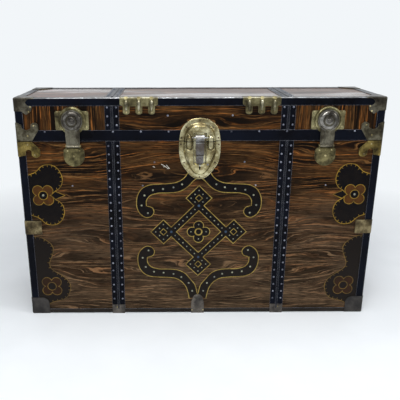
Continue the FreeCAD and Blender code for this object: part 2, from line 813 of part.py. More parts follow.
def lock_hasp():
    """Barrel, neck, broad plate, thin tip with its knob, and the staple behind."""
    hasp = body("lock_hasp", "0", "front_face", "parting_height")
    left = "-hasp_half_width"
    width = "2 * hasp_half_width"
    barrel = circle(hasp, "YZ_Plane", "-hasp_pivot_out", "hasp_pivot_rise", "hasp_barrel_radius", left)
    pad(hasp, barrel, width)
    neck_front = "hasp_pivot_out + hasp_neck_thick"
    plate_front = neck_front + " + hasp_plate_thick"
    tip_front = neck_front + " + hasp_tip_thick"
    tip_top = "-(hasp_plate_end - hasp_plate_thick)"
    neck = [("-(%s)" % neck_front, "hasp_pivot_rise"), ("-(%s)" % neck_front, "-hasp_plate_end"),
            ("-hasp_pivot_out", "-hasp_plate_end"), ("-hasp_pivot_out", "hasp_pivot_rise")]
    across_pad(hasp, neck, left, width)
    broad = [("-(%s)" % plate_front, "-hasp_plate_top"), ("-(%s)" % plate_front, tip_top),
             ("-(%s)" % neck_front, "-hasp_plate_end"), ("-(%s)" % neck_front, "-hasp_plate_top")]
    across_pad(hasp, broad, left, width)
    tip = with_mirror([("hasp_tip_half - hasp_tip_corner", "-hasp_tip_end"),
                       ("hasp_tip_half", "-hasp_tip_end + hasp_tip_corner", ROUND),
                       ("hasp_tip_half", "-hasp_plate_end + hasp_tip_lap")])
    pad(hasp, outline(hasp, "XZ_Plane", tip, "hasp_pivot_out"), "hasp_neck_thick + hasp_tip_thick")
    knob = circle(hasp, "XZ_Plane", "0", "-hasp_knob_drop", "hasp_knob_radius", "hasp_pivot_out")
    pad(hasp, knob, "hasp_knob_rise")
    staple_in = "-(hasp_pivot_out - staple_reach)"
    staple = [(staple_in, "-staple_bottom"), (staple_in, "-staple_top"),
              ("-hasp_pivot_out", "-staple_top"), ("-hasp_pivot_out", "-staple_bottom")]
    across_pad(hasp, staple, "-staple_width / 2", "staple_width")
    eye_in = "-(hasp_pivot_out - staple_reach / 2 - staple_eye / 2)"
    eye_out = "-(hasp_pivot_out - staple_reach / 2 + staple_eye / 2)"
    eye_high = "-(staple_top + staple_bottom) / 2 + staple_eye"
    eye_low = "-(staple_top + staple_bottom) / 2 - staple_eye"
    eye = [(eye_out, eye_low), (eye_in, eye_low), (eye_in, eye_high), (eye_out, eye_high)]
    pocket(hasp, outline(hasp, "YZ_Plane", eye, "staple_width"), "2 * staple_width")
    bore = circle(hasp, "YZ_Plane", "-hasp_pivot_out", "hasp_pivot_rise",
                  "hasp_pin_radius + running_clearance", "hasp_half_width")
    pocket(hasp, bore, width)
    return hasp


def hasp_pin():
    """The pin across the channel that the hasp's barrel turns on."""
    seat = "lock_channel_half + hasp_pin_seat"
    return rod("hasp_pin", "hasp_pin_radius", "2 * (%s)" % seat, "-(%s)" % seat,
               "front_face - hasp_pivot_out", "parting_height + hasp_pivot_rise")


# Side latches

def latch_strike(label, x, under):
    """The plate on the lid: a rounded oblong with a round boss that backs the lever's dome."""
    plate = body(label + "_blank", x, "front_face", "parting_height + latch_dome_height")
    cut = "sqrt(strike_boss_radius^2 - strike_half_height^2)"
    corner = "clamp_bevel"
    low = "-strike_half_height"
    high = "strike_half_height"
    corners = with_mirror([("0", "-strike_boss_radius"),
                           (cut, low, STRIKE_BULGE),
                           ("strike_half_width - " + corner, low),
                           ("strike_half_width", low + " + " + corner),
                           ("strike_half_width", high + " - " + corner),
                           ("strike_half_width - " + corner, high),
                           (cut, high),
                           ("0", "strike_boss_radius", STRIKE_BULGE)])
    pad(plate, outline(plate, "XZ_Plane", corners), "plate_out")
    boss_out = "plate_out + strike_boss_rise"
    pad(plate, circle(plate, "XZ_Plane", "0", "0", "strike_boss_radius - strike_boss_margin"), boss_out)
    front = -number(boss_out)
    bevel_edges(plate, "strike_boss_slope", lambda each: lies(each, y=front))
    return seated(label, plate, under)


def latch_keeper(label, x):
    """The heart-shaped plate on the case, with the pivot pin riveted between its two ears."""
    plate = body(label, x, "front_face", "parting_height")
    corners = with_mirror([("0", "-(keeper_middle + keeper_radius)"),
                           ("keeper_radius", "-keeper_middle", ROUND),
                           ("keeper_radius", "-keeper_shoulder"),
                           ("keeper_top_half", "-keeper_top", KEEPER_SHOULDER_BULGE)])
    pad(plate, outline(plate, "XZ_Plane", corners), "keeper_thick")
    reach = "lever_arm_half + ear_gap"
    ear = [("0", "-(keeper_top + ear_foot)"),
           ("0", "-(latch_pivot_drop - latch_barrel_radius)"),
           ("-latch_pivot_out", "-(latch_pivot_drop - latch_barrel_radius)"),
           ("-(latch_pivot_out + latch_barrel_radius)", "-latch_pivot_drop"),
           ("-latch_pivot_out", "-(latch_pivot_drop + latch_barrel_radius)")]
    across_pad(plate, ear, reach, "ear_thick")
    across_pad(plate, ear, "-(%s) - ear_thick" % reach, "ear_thick")
    pin = circle(plate, "YZ_Plane", "-latch_pivot_out", "-latch_pivot_drop", "latch_pin_radius",
                 "-(%s + ear_thick / 2)" % reach)
    pad(plate, pin, "2 * (%s) + ear_thick" % reach)
    return plate


def latch_lever(label, x):
    """A stepped hollow dome on a ridged arm that ends in the pivot barrel."""
    lever = body(label, x, "front_face", "parting_height + latch_dome_height")
    for step in ("rim", "step", "boss", "rivet"):
        round_step = circle(lever, "XZ_Plane", "0", "0", "lever_%s_radius" % step, "lever_back")
        pad(lever, round_step, "lever_%s_out - lever_back" % step)
    hollow = circle(lever, "XZ_Plane", "0", "0", "lever_step_radius - lever_thick", "lever_back")
    pocket(lever, hollow, "lever_step_out - lever_thick - lever_back", reverse=True)
    pivot = "-(latch_dome_height + latch_pivot_drop)"
    root = "-(lever_step_radius + lever_thick)"
    arm = with_mirror([("lever_arm_half", pivot),
                       ("lever_arm_top_half", root),
                       ("lever_arm_half", root + " + lever_thick / 2")])
    pad(lever, outline(lever, "XZ_Plane", arm, "lever_back"), "lever_thick")
    ridge = with_mirror([("lever_ridge_half", pivot + " + 2 * latch_barrel_radius"),
                         ("lever_ridge_half", root)])
    pad(lever, outline(lever, "XZ_Plane", ridge, "lever_back"), "lever_thick + lever_ridge_rise")
    left = "-lever_arm_half"
    barrel = circle(lever, "YZ_Plane", "-latch_pivot_out", pivot, "latch_barrel_radius", left)
    pad(lever, barrel, "2 * lever_arm_half")
    bore = circle(lever, "YZ_Plane", "-latch_pivot_out", pivot, "latch_pin_radius + running_clearance",
                  "lever_arm_top_half")
    pocket(lever, bore, "2 * lever_arm_top_half")
    return lever


# Back hinges

def hinge_leaf(label, x, upward, stretches):
    """A leaf on the back with its knuckles; a stretch is where a knuckle starts and how long it is."""
    leaf = body(label, x, "back_face", "parting_height")
    way = "" if upward else "-"
    height = way + "hinge_leaf_height"
    shoulder = "%s(hinge_leaf_height - hinge_corner)" % way
    narrow = "hinge_half_width - hinge_corner"
    right = [("hinge_half_width", "0"), ("hinge_half_width", shoulder), (narrow, height)]
    if not upward:
        right.reverse()
    pad(leaf, outline(leaf, "XZ_Plane", with_mirror(right)), "hinge_leaf_thick", reverse=True)
    inner = "hinge_axis_out - knuckle_radius"
    outer = "hinge_axis_out + knuckle_radius"
    knuckle = [("0", "0"), ("0", "-knuckle_radius"), ("hinge_axis_out", "-knuckle_radius"),
               (outer, "0", ROUND), ("hinge_axis_out", "knuckle_radius", ROUND), (inner, "0", ROUND)]
    if upward:
        knuckle = [("0", "0"), (inner, "0"), ("hinge_axis_out", "-knuckle_radius", ROUND),
                   (outer, "0", ROUND), ("hinge_axis_out", "knuckle_radius", ROUND), ("0", "knuckle_radius")]
    for start, length in stretches:
        across_pad(leaf, knuckle, start, length)
    if upward:
        bore = circle(leaf, "YZ_Plane", "hinge_axis_out", "0", "hinge_pin_radius + running_clearance",
                      "hinge_half_width")
        pocket(leaf, bore, "2 * hinge_half_width")
    else:
        pin = circle(leaf, "YZ_Plane", "hinge_axis_out", "0", "hinge_pin_radius",
                     "-knuckle_split - knuckle_gap")
        pad(leaf, pin, "2 * (knuckle_split + knuckle_gap)")
    return leaf


def hinges():
    """Two butt hinges: the case leaves hold the pins, and the lid leaves turn on them."""
    middle = [("-knuckle_split + knuckle_gap", "2 * (knuckle_split - knuckle_gap)")]
    sides = [("-hinge_half_width", "hinge_half_width - knuckle_split"),
             ("knuckle_split", "hinge_half_width - knuckle_split")]
    spots = (("left", "-hinge_spacing"), ("right", "hinge_spacing"))
    case = [hinge_leaf("hinge_case_leaf_" + name, x, False, sides) for name, x in spots]
    lid = [hinge_leaf("hinge_lid_leaf_" + name, x, True, middle) for name, x in spots]
    return [group("hinge_case_leaves", case), group("hinge_lid_leaves", lid)]


# End handles

def handle_strap(label):
    """A leather strap that lies flat at both ends and bows out in the middle, on the left end."""
    strap = body(label, "-side_face", "depth_shift", "handle_height - strap_width / 2")
    out = "-(strap_lift + strap_thick)"
    inner = "-strap_lift"
    bend = "strap_flat_half / 2"
    corners = [("0", "strap_half_length"),
               ("-strap_thick", "strap_half_length"),
               ("-strap_thick", "strap_flat_half"),
               (out, bend, "-" + STRAP_BEND_BULGE),
               (out, "-(%s)" % bend, STRAP_BOW_BULGE),
               ("-strap_thick", "-strap_flat_half", "-" + STRAP_BEND_BULGE),
               ("-strap_thick", "-strap_half_length"),
               ("0", "-strap_half_length"),
               ("0", "-strap_flat_half"),
               (inner, "-(%s)" % bend, STRAP_BEND_BULGE),
               (inner, bend, "-" + STRAP_BOW_BULGE),
               ("0", "strap_flat_half", STRAP_BEND_BULGE)]
    pad(strap, outline(strap, "XY_Plane", corners), "strap_width")
    return strap


def handle_loops(label, strap):
    """Two metal keepers nailed over the ends of the strap."""
    made = []
    for name, centre in (("front", "-loop_centre"), ("back", "loop_centre")):
        keeper = body("%s_%s_blank" % (label, name), "-side_face", "depth_shift + " + centre, "handle_height")
        plate = with_mirror([("loop_half_length - loop_corner", "-loop_half_height"),
                             ("loop_half_length", "-loop_half_height + loop_corner"),
                             ("loop_half_length", "loop_half_height - loop_corner"),
                             ("loop_half_length - loop_corner", "loop_half_height")])
        pad(keeper, outline(keeper, "YZ_Plane", plate), "clamp_thick", reverse=True)
        saddle_high = "strap_width / 2 + clamp_thick"
        saddle = with_mirror([("loop_saddle_half", "-(%s)" % saddle_high),
                              ("loop_saddle_half", saddle_high)])
        pad(keeper, outline(keeper, "YZ_Plane", saddle), "strap_thick + clamp_thick", reverse=True)
        front = -number("strap_thick + clamp_thick")
        bevel_edges(keeper, "clamp_thick", lambda each: lies(each, x=front))
        made.append(seated("%s_%s" % (label, name), keeper, strap))
    return group(label, made)


# Assembly

def assemble():
    """Makes all sub-parts, in the order in which they lie on each other."""
    nodes = case_boards() + lid_boards()
    nodes.append(rim_strips())
    case_angles = corner_bindings("case_corner_bindings", "foot_height + bottom_binding_height",
                                  "parting_height - foot_height - bottom_binding_height")
    lid_angles = corner_bindings("lid_corner_bindings", "parting_height + valance_height",
                                 "lid_top - top_binding_width - parting_height - valance_height")
    bottom_frame = edge_frame("case_bottom_binding", "foot_height", "bottom_binding_height",
                              "bottom_binding_height", False)
    top_frame = edge_frame("lid_top_binding", "lid_top", "top_binding_width", "top_binding_width", True)
    skirt = valance()
    nodes += [case_angles, lid_angles, bottom_frame, top_frame, skirt]

    band_low = "foot_height + bottom_binding_height"
    band_height = "parting_height - (%s)" % band_low
    for side, x in (("left", "-band_centre"), ("right", "band_centre")):
        nodes.append(band("case_front_band_" + side, x, "front_face", band_low, band_height, -1))
        nodes.append(band("case_back_band_" + side, x, "back_face", band_low, band_height, 1))
        nodes.append(lid_band("lid_band_" + side, x))

    case_clamp = bent_clamp("case_clamp_blank", "parting_height", case_clamp_outline())
    lid_clamp = bent_clamp("lid_clamp_blank", "parting_height", lid_clamp_outline())
    bracket = bent_clamp("mid_bracket_blank", "bracket_middle", bracket_outline())
    lid_cap = bent_cap("lid_cap_blank", "lid_top", top_cap_outline(), level_leaf("top_cap_width"), True)
    bottom_cap = bent_cap("bottom_cap_blank", "foot_height", bottom_cap_outline(),
                          level_leaf("bottom_cap_width"), False)
    nodes += [
        four_corners("case_clamps", seated("case_clamp_front_left", case_clamp, case_angles)),
        four_corners("lid_clamps", seated("lid_clamp_front_left", lid_clamp, skirt, lid_angles)),
        four_corners("mid_brackets", seated("mid_bracket_front_left", bracket, case_angles)),
        four_corners("lid_caps", seated("lid_cap_front_left", lid_cap, top_frame, lid_angles)),
        four_corners("bottom_caps", seated("bottom_cap_front_left", bottom_cap, bottom_frame, case_angles)),
    ]

    bell = foot_clamp("bottom_bell_clamp", "0", bell_outline(), bottom_frame)
    nodes.append(bell)
    half = "foot_clamp_width / 2"
    foot = with_mirror([(half, "-skin"), (half, "foot_clamp_height - foot_height")])
    under_foot = group("foot_clamp_under", [bottom_frame, node_named(nodes, "case_front_band_left")])
    foot_left = foot_clamp("foot_clamp_front_left", "-band_centre", foot, under_foot)
    nodes.append(four_corners("foot_clamps", foot_left))
    edge_left = edge_clamp("edge_clamp_left", "-edge_clamp_centre", top_frame)
    nodes.append(group("edge_clamps", [edge_left, mirrored("edge_clamp_right", edge_left)]))

    nodes += [lock_upper_plate(skirt), lock_lower_plate(), lock_hasp(), hasp_pin()]
    strike = latch_strike("latch_strike_left", "-latch_centre", skirt)
    keeper = latch_keeper("latch_keeper_left", "-latch_centre")
    nodes += [
        group("latch_strikes", [strike, mirrored("latch_strike_right", strike)]),
        group("latch_keepers", [keeper, mirrored("latch_keeper_right", keeper)]),
        latch_lever("latch_lever_left", "-latch_centre"),
        latch_lever("latch_lever_right", "latch_centre"),
    ]
    nodes += hinges()

    strap_left = handle_strap("handle_strap_left")
    loops_left = handle_loops("handle_loops_left", strap_left)
    nodes += [strap_left, loops_left, mirrored("handle_strap_right", strap_left),
              mirrored("handle_loops_right", loops_left)]
    return nodes


def node_named(nodes, label):
    """The sub-part with this label."""
    return [node for node in nodes if node.Label == label][0]


def check(nodes):
    """Stops before anything is written if a feature failed or a solid isn't sound."""
    faults = [thing.Label for thing in doc.Objects
              if any(word in ("Invalid", "Error") for word in thing.State)]
    if faults:
        raise RuntimeError("features that failed: " + ", ".join(faults))
    for node in nodes:
        shape = node.Shape
        if shape.isNull() or not shape.isValid() or not shape.Solids:
            raise RuntimeError("no sound solid: " + node.Label)


nodes = assemble()
doc.recompute()
check(nodes)
os.makedirs("parts", exist_ok=True)
for node in nodes:
    node.Shape.exportStep("parts/%s.step" % node.Label)
print("%d sub-parts" % len(nodes))
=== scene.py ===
"""The looks of a flat-top travel trunk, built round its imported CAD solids.

Sizes are in metres, and MM turns millimetres into them.  X runs along the front, Y to the hinged
back and Z up, as in the solids.  Lists of points are in millimetres on the front, from its middle
and from the floor; those of the lock count from the lid's mouth.
"""

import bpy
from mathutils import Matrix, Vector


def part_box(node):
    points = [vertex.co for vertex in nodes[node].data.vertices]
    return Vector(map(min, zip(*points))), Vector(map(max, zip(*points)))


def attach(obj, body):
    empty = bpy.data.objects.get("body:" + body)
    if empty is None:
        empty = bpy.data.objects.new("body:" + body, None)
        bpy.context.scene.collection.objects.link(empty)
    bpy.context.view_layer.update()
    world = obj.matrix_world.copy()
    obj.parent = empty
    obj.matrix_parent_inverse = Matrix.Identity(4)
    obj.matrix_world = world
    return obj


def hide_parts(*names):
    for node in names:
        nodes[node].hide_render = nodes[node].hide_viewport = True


bl_info = {
    "name": "Travel trunk",
    "version": (1, 0, 0),
    "blender": (4, 5, 0),
    "location": "View3D > Sidebar > Trunk",
    "description": "Finishes, nails, painted ornament and leather for a metal-bound travel trunk",
    "category": "Object",
}

from math import radians

import bmesh
import bpy
import numpy as np

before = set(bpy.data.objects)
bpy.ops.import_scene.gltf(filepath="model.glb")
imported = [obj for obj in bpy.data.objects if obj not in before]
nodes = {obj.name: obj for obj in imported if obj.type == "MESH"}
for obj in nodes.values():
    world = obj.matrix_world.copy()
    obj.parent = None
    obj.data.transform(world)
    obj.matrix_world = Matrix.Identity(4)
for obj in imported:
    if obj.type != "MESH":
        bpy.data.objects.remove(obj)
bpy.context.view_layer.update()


def middle_x(node):
    low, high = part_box(node)
    return 0.5 * (low.x + high.x)


MM = 0.001
TAU = 2 * np.pi

# The boards' outer faces, the lid's mouth, and the middles of the right-hand band and latch
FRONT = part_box("case_front_board")[0].y
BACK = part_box("case_back_board")[1].y
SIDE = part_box("case_right_end")[1].x
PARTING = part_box("case_front_board")[1].z
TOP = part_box("lid_top_board")[1].z
BAND = middle_x("case_front_band_right")
LATCH = middle_x("latch_lever_right")

# Heights of the lattice's centre and of the side flares' middle, in millimetres
LATTICE_HEIGHT = 238.5
FLARE_HEIGHT = 340

# How far the painted layers stand above the board
FILL = 0.20 * MM
LAPPED = 0.22 * MM
LINE = 0.32 * MM
OVER = 0.44 * MM
SUNK = -0.1 * MM


# Surfaces

def front(across, up, out):
    """A point of the front: across and up in the board's plane, out towards the viewer."""
    return np.stack(np.broadcast_arrays(across, FRONT - out, up), axis=-1)


def back(across, up, out):
    return np.stack(np.broadcast_arrays(across, BACK + out, up), axis=-1)


def left(across, up, out):
    return np.stack(np.broadcast_arrays(-SIDE - out, across, up), axis=-1)


def right(across, up, out):
    return np.stack(np.broadcast_arrays(SIDE + out, across, up), axis=-1)


def over(across, up, out):
    """A point of the top board: across, then back from the front edge, and out upwards."""
    return np.stack(np.broadcast_arrays(across, FRONT + up, TOP + out), axis=-1)


def put(name, grids, body, look, smooth=True):
    """One object from grids of points, each shaped (rows, columns, 3) or a stack of such copies.

    Neighbouring rows and columns are joined by quads, the last column to the first one where
    the grid says so, and coincident points are merged, which closes poles and seams."""
    points = []
    quads = []
    count = 0
    for grid, wrap in grids:
        grid = grid.reshape((-1,) + grid.shape[-3:])
        index = count + np.arange(grid[..., 0].size).reshape(grid.shape[:3])
        if wrap:
            index = np.concatenate([index, index[:, :, :1]], axis=2)
        quads.append(np.stack([index[:, :-1, :-1], index[:, :-1, 1:],
                               index[:, 1:, 1:], index[:, 1:, :-1]], axis=-1).reshape(-1, 4))
        points.append(grid.reshape(-1, 3))
        count += len(points[-1])
    mesh = bpy.data.meshes.new(name)
    mesh.from_pydata(np.concatenate(points).tolist(), [], np.concatenate(quads).tolist())
    work = bmesh.new()
    work.from_mesh(mesh)
    bmesh.ops.remove_doubles(work, verts=work.verts, dist=2e-6)
    bmesh.ops.dissolve_degenerate(work, edges=work.edges, dist=1e-7)
    bmesh.ops.recalc_face_normals(work, faces=work.faces)
    work.to_mesh(mesh)
    work.free()
    mesh.validate()
    if smooth:
        mesh.shade_smooth()
        mesh.set_sharp_from_angle(angle=radians(38))
    mesh.materials.append(finish(look))
    made = bpy.data.objects.new(name, mesh)
    bpy.context.scene.collection.objects.link(made)
    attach(made, body)
    return made


def ring(count):
    """Angles once round, without the repeated last one."""
    return np.arange(count) * TAU / count


def circle_line(radius, samples=40):
    return radius * np.stack([np.cos(ring(samples)), np.sin(ring(samples))], axis=-1)


def unit(ways):
    return ways / np.linalg.norm(ways, axis=1, keepdims=True)


def left_of(ways):
    """Each way turned a quarter to its left."""
    return np.stack([-ways[:, 1], ways[:, 0]], axis=-1)


def run_along(line):
    """How far along a line each of its points lies."""
    return np.concatenate([[0], np.cumsum(np.hypot(*np.diff(line, axis=0).T))])


def picked(line, run, where):
    """Points of a line at distances along it."""
    return np.stack([np.interp(where, run, line[:, axis]) for axis in (0, 1)], axis=-1)


def smooth_line(points, count):
    """A smooth line through points: cubics whose slope at each point comes from its neighbours."""
    points = np.asarray(points, float)
    run = run_along(points)
    slope = np.gradient(points, run, axis=0)
    where = np.linspace(0, run[-1], count)
    piece = np.clip(np.searchsorted(run, where, side="right") - 1, 0, len(run) - 2)
    step = (run[piece + 1] - run[piece])[:, None]
    part = (where - run[piece])[:, None] / step
    ahead = 3 * part**2 - 2 * part**3
    bend = slope[piece] * (part**3 - 2 * part**2 + part) + slope[piece + 1] * (part**3 - part**2)
    return points[piece] * (1 - ahead) + points[piece + 1] * ahead + step * bend


def dense(corners, step):
    """A closed outline of straight runs between corners, cut into lengths of about one step."""
    corners = np.concatenate([corners, corners[:1]])
    run = run_along(corners)
    cuts = [np.linspace(a, b, max(2, int((b - a) / step) + 1))[:-1] for a, b in zip(run[:-1], run[1:])]
    return picked(corners, run, np.concatenate(cuts))


def on_side(points, side):
    """Points of the front in metres: as listed for side 1, mirrored across the middle for -1."""
    return np.asarray(points, float) * (side * MM, MM)


def at_mouth(points):
    """Points of the lock in metres, from the lid's mouth."""
    return np.asarray(points, float) * MM + (0, PARTING)


def flat_steps(height, base=SUNK):
    """The steps of a flat plate."""
    return [(0, height), (1, height), (1, base), (0, base)]


def head(height, sunk=0.0, base=0.0):
    """The steps of a low rounded nail head that stands on a base height."""
    return [(0, base + height), (0.55, base + 0.84 * height), (0.88, base + 0.45 * height),
            (1, base), (1, base - sunk), (0, base - sunk)]


def lens(face, outline, hub, steps):
    """A closed plate: the outline shrinks towards a hub by each step's share, at its height."""
    steps = np.asarray(steps, float)
    spots = hub + steps[:, None, :1] * (outline - hub)[None]
    return face(spots[..., 0], spots[..., 1], steps[:, 1:]), True


def knobs(face, centres, radius, steps, sides=10):
    """Many small round heads at once: circles about each centre, with (share of radius, height) steps."""
    centres = np.asarray(centres, float).reshape(-1, 1, 1, 2)
    steps = np.asarray(steps, float)
    reach = radius * steps[:, :1]
    across = centres[..., 0] + reach * np.cos(ring(sides))
    up = centres[..., 1] + reach * np.sin(ring(sides))
    return face(across, up, steps[:, 1:]), True


def lane(face, one, other, out, base):
    """A closed strip between two lines, with square edges and closed ends."""
    ends = np.repeat(0.5 * (one + other)[[0, -1], None], 4, axis=1)
    rows = np.concatenate([ends[:1], np.stack([one, one, other, other], axis=1), ends[1:]])
    height = np.tile([base, out, out, base], (len(rows), 1))
    height[[0, -1]] = base
    return face(rows[..., 0], rows[..., 1], height), True


def piping(face, line, width, out, base=SUNK, closed=False):
    """A raised line of constant width: its path moved to both sides along mitred normals."""
    if closed:
        before = line - np.roll(line, 1, axis=0)
        after = np.roll(line, -1, axis=0) - line
    else:
        after = np.diff(line, axis=0, append=line[-1:])
        before = np.diff(line, axis=0, prepend=line[:1])
        after[-1] = before[-1]
        before[0] = after[0]
    before = unit(before)
    tangent = unit(before + unit(after))
    mitre = 1 / np.clip((before * tangent).sum(1, keepdims=True), 0.5, 1)
    aside = left_of(tangent) * mitre * width / 2
    if not closed:
        return lane(face, line + aside, line - aside, out, base)
    rows = np.stack([line + aside, line + aside, line - aside, line - aside], axis=1)
    rows = np.concatenate([rows, rows[:1]])
    return face(rows[..., 0], rows[..., 1], np.array([base, out, out, base])), True


def ticks(face, line, pitch, start, length, width, out, base=SUNK):
    """Short raised strokes that stand on a line at equal distances, on its left-hand side.

    A negative start and length put them on its right."""
    run = run_along(line)
    where = np.arange(pitch / 2, run[-1], pitch)
    way = unit(picked(np.gradient(line, run, axis=0), run, where))
    side = way * width / 2
    near = picked(line, run, where) + start * left_of(way)
    far = near + length * left_of(way)
    outline = np.stack([near - side, near + side, far + side, far - side], axis=1)
    middle = outline.mean(axis=1, keepdims=True)
    share = np.array([0, 1, 1, 0])[:, None, None]
    spots = middle[:, None] + share * (outline - middle)[:, None]
    return face(spots[..., 0], spots[..., 1], np.array([out, out, base, base])[:, None]), True


def petals(count, reach, radius, turn, samples=96):
    """The outline of round lobes: on each bearing, the far side of the nearest lobe's circle."""
    bearing = ring(samples)
    off = (bearing - turn + np.pi / count) % (TAU / count) - np.pi / count
    far = reach * np.cos(off) + np.sqrt(np.maximum(radius**2 - (reach * np.sin(off))**2, 0))
    return np.stack([far * np.cos(bearing), far * np.sin(bearing)], axis=-1)


# Materials

def linear(red, green, blue):
    """An opaque colour given as it looks on a screen, 0 to 255, in the scene's linear units."""
    share = np.array([red, green, blue]) / 255
    return (*np.where(share <= 0.04045, share / 12.92, ((share + 0.055) / 1.055)**2.4).tolist(), 1.0)


def add_node(tree, kind, inputs, **settings):
    """A new node, with each input linked from a socket or set to a value."""
    made = tree.nodes.new(kind)
    for key, value in settings.items():
        setattr(made, key, value)
    for key, value in inputs.items():
        if isinstance(value, bpy.types.NodeSocket):
            tree.links.new(value, made.inputs[key])
        else:
            made.inputs[key].default_value = value
    return made


class Finish:
    """A procedural material; its methods add nodes and hand back the socket to link on."""

    def __init__(self, name):
        self.material = bpy.data.materials.new(name)
        self.material.use_nodes = True
        self.tree = self.material.node_tree
        self.shader = self.tree.nodes["Principled BSDF"]
        self.place = self.tree.nodes.new("ShaderNodeTexCoord").outputs["Object"]

    def node(self, kind, inputs=None, **settings):
        return add_node(self.tree, kind, inputs or {}, **settings)

    def axes(self, vector=None):
        return self.node("ShaderNodeSeparateXYZ", {"Vector": vector or self.place}).outputs

    def joined(self, across, up):
        return self.node("ShaderNodeCombineXYZ", {"X": across, "Y": up}).outputs[0]

    def noise(self, scale, detail, rough=0.55, place=None, distortion=0.0):
        return self.node("ShaderNodeTexNoise", {
            "Vector": place or self.place, "Scale": scale, "Detail": detail, "Roughness": rough,
            "Distortion": distortion}).outputs[0]

    def streaks(self, scales, detail, rough=0.55, place=None, distortion=0.0, turn=(0, 0, 0)):
        """Noise with a frequency of its own along each axis."""
        drawn = self.node("ShaderNodeMapping", {"Vector": place or self.place, "Scale": scales,
                                                "Rotation": turn})
        return self.noise(1.0, detail, rough, drawn.outputs[0], distortion)

    def ramp(self, value, stops):
        made = self.node("ShaderNodeValToRGB", {"Fac": value})
        ramp = made.color_ramp
        while len(ramp.elements) < len(stops):
            ramp.elements.new(0.5)
        for element, (where, colour) in zip(ramp.elements, stops):
            element.position = where
            element.color = colour
        return made.outputs[0]

    def levels(self, value, low, high, to_low=0.0, to_high=1.0):
        return self.node("ShaderNodeMapRange", {"Value": value, "From Min": low, "From Max": high,
                                                "To Min": to_low, "To Max": to_high}).outputs[0]

    def maths(self, operation, one, other=0.0):
        return self.node("ShaderNodeMath", {0: one, 1: other}, operation=operation).outputs[0]

    def add(self, one, other):
        return self.maths("ADD", one, other)

    def times(self, one, other):
        return self.maths("MULTIPLY", one, other)

    def away(self, value, centre):
        """How far a value is from a centre, either way."""
        return self.maths("ABSOLUTE", self.maths("SUBTRACT", value, centre))

    def mix(self, share, one, other):
        return self.node("ShaderNodeMix", {0: share, 6: one, 7: other}, data_type="RGBA").outputs[2]

    def bump(self, height, strength, distance=0.0005):
        made = self.node("ShaderNodeBump", {"Height": height, "Strength": strength, "Distance": distance})
        self.tree.links.new(made.outputs[0], self.shader.inputs["Normal"])

    def set(self, **values):
        for key, value in values.items():
            socket = self.shader.inputs[key.replace("_", " ")]
            if isinstance(value, bpy.types.NodeSocket):
                self.tree.links.new(value, socket)
            else:
                socket.default_value = value

    def edges(self, radius, share):
        """Where the surface turns within a small radius: the share along corners, 0 on flat ground."""
        rounded = self.node("ShaderNodeBevel", {"Radius": radius}, samples=4).outputs[0]
        sharp = self.node("ShaderNodeNewGeometry").outputs["Normal"]
        agree = self.node("ShaderNodeVectorMath", {0: rounded, 1: sharp}, operation="DOT_PRODUCT")
        return self.levels(agree.outputs["Value"], 0.995, 0.86, 0.0, share)

    def hollow_dirt_and_shade(self, distance, share):
        """Where grime gathers and painted shade falls: high in hollows and along the feet of raised parts."""
        open_sky = self.node("ShaderNodeAmbientOcclusion", {"Distance": distance}, samples=8, only_local=True)
        return self.levels(open_sky.outputs["AO"], 0.92, 0.45, 0.0, share)


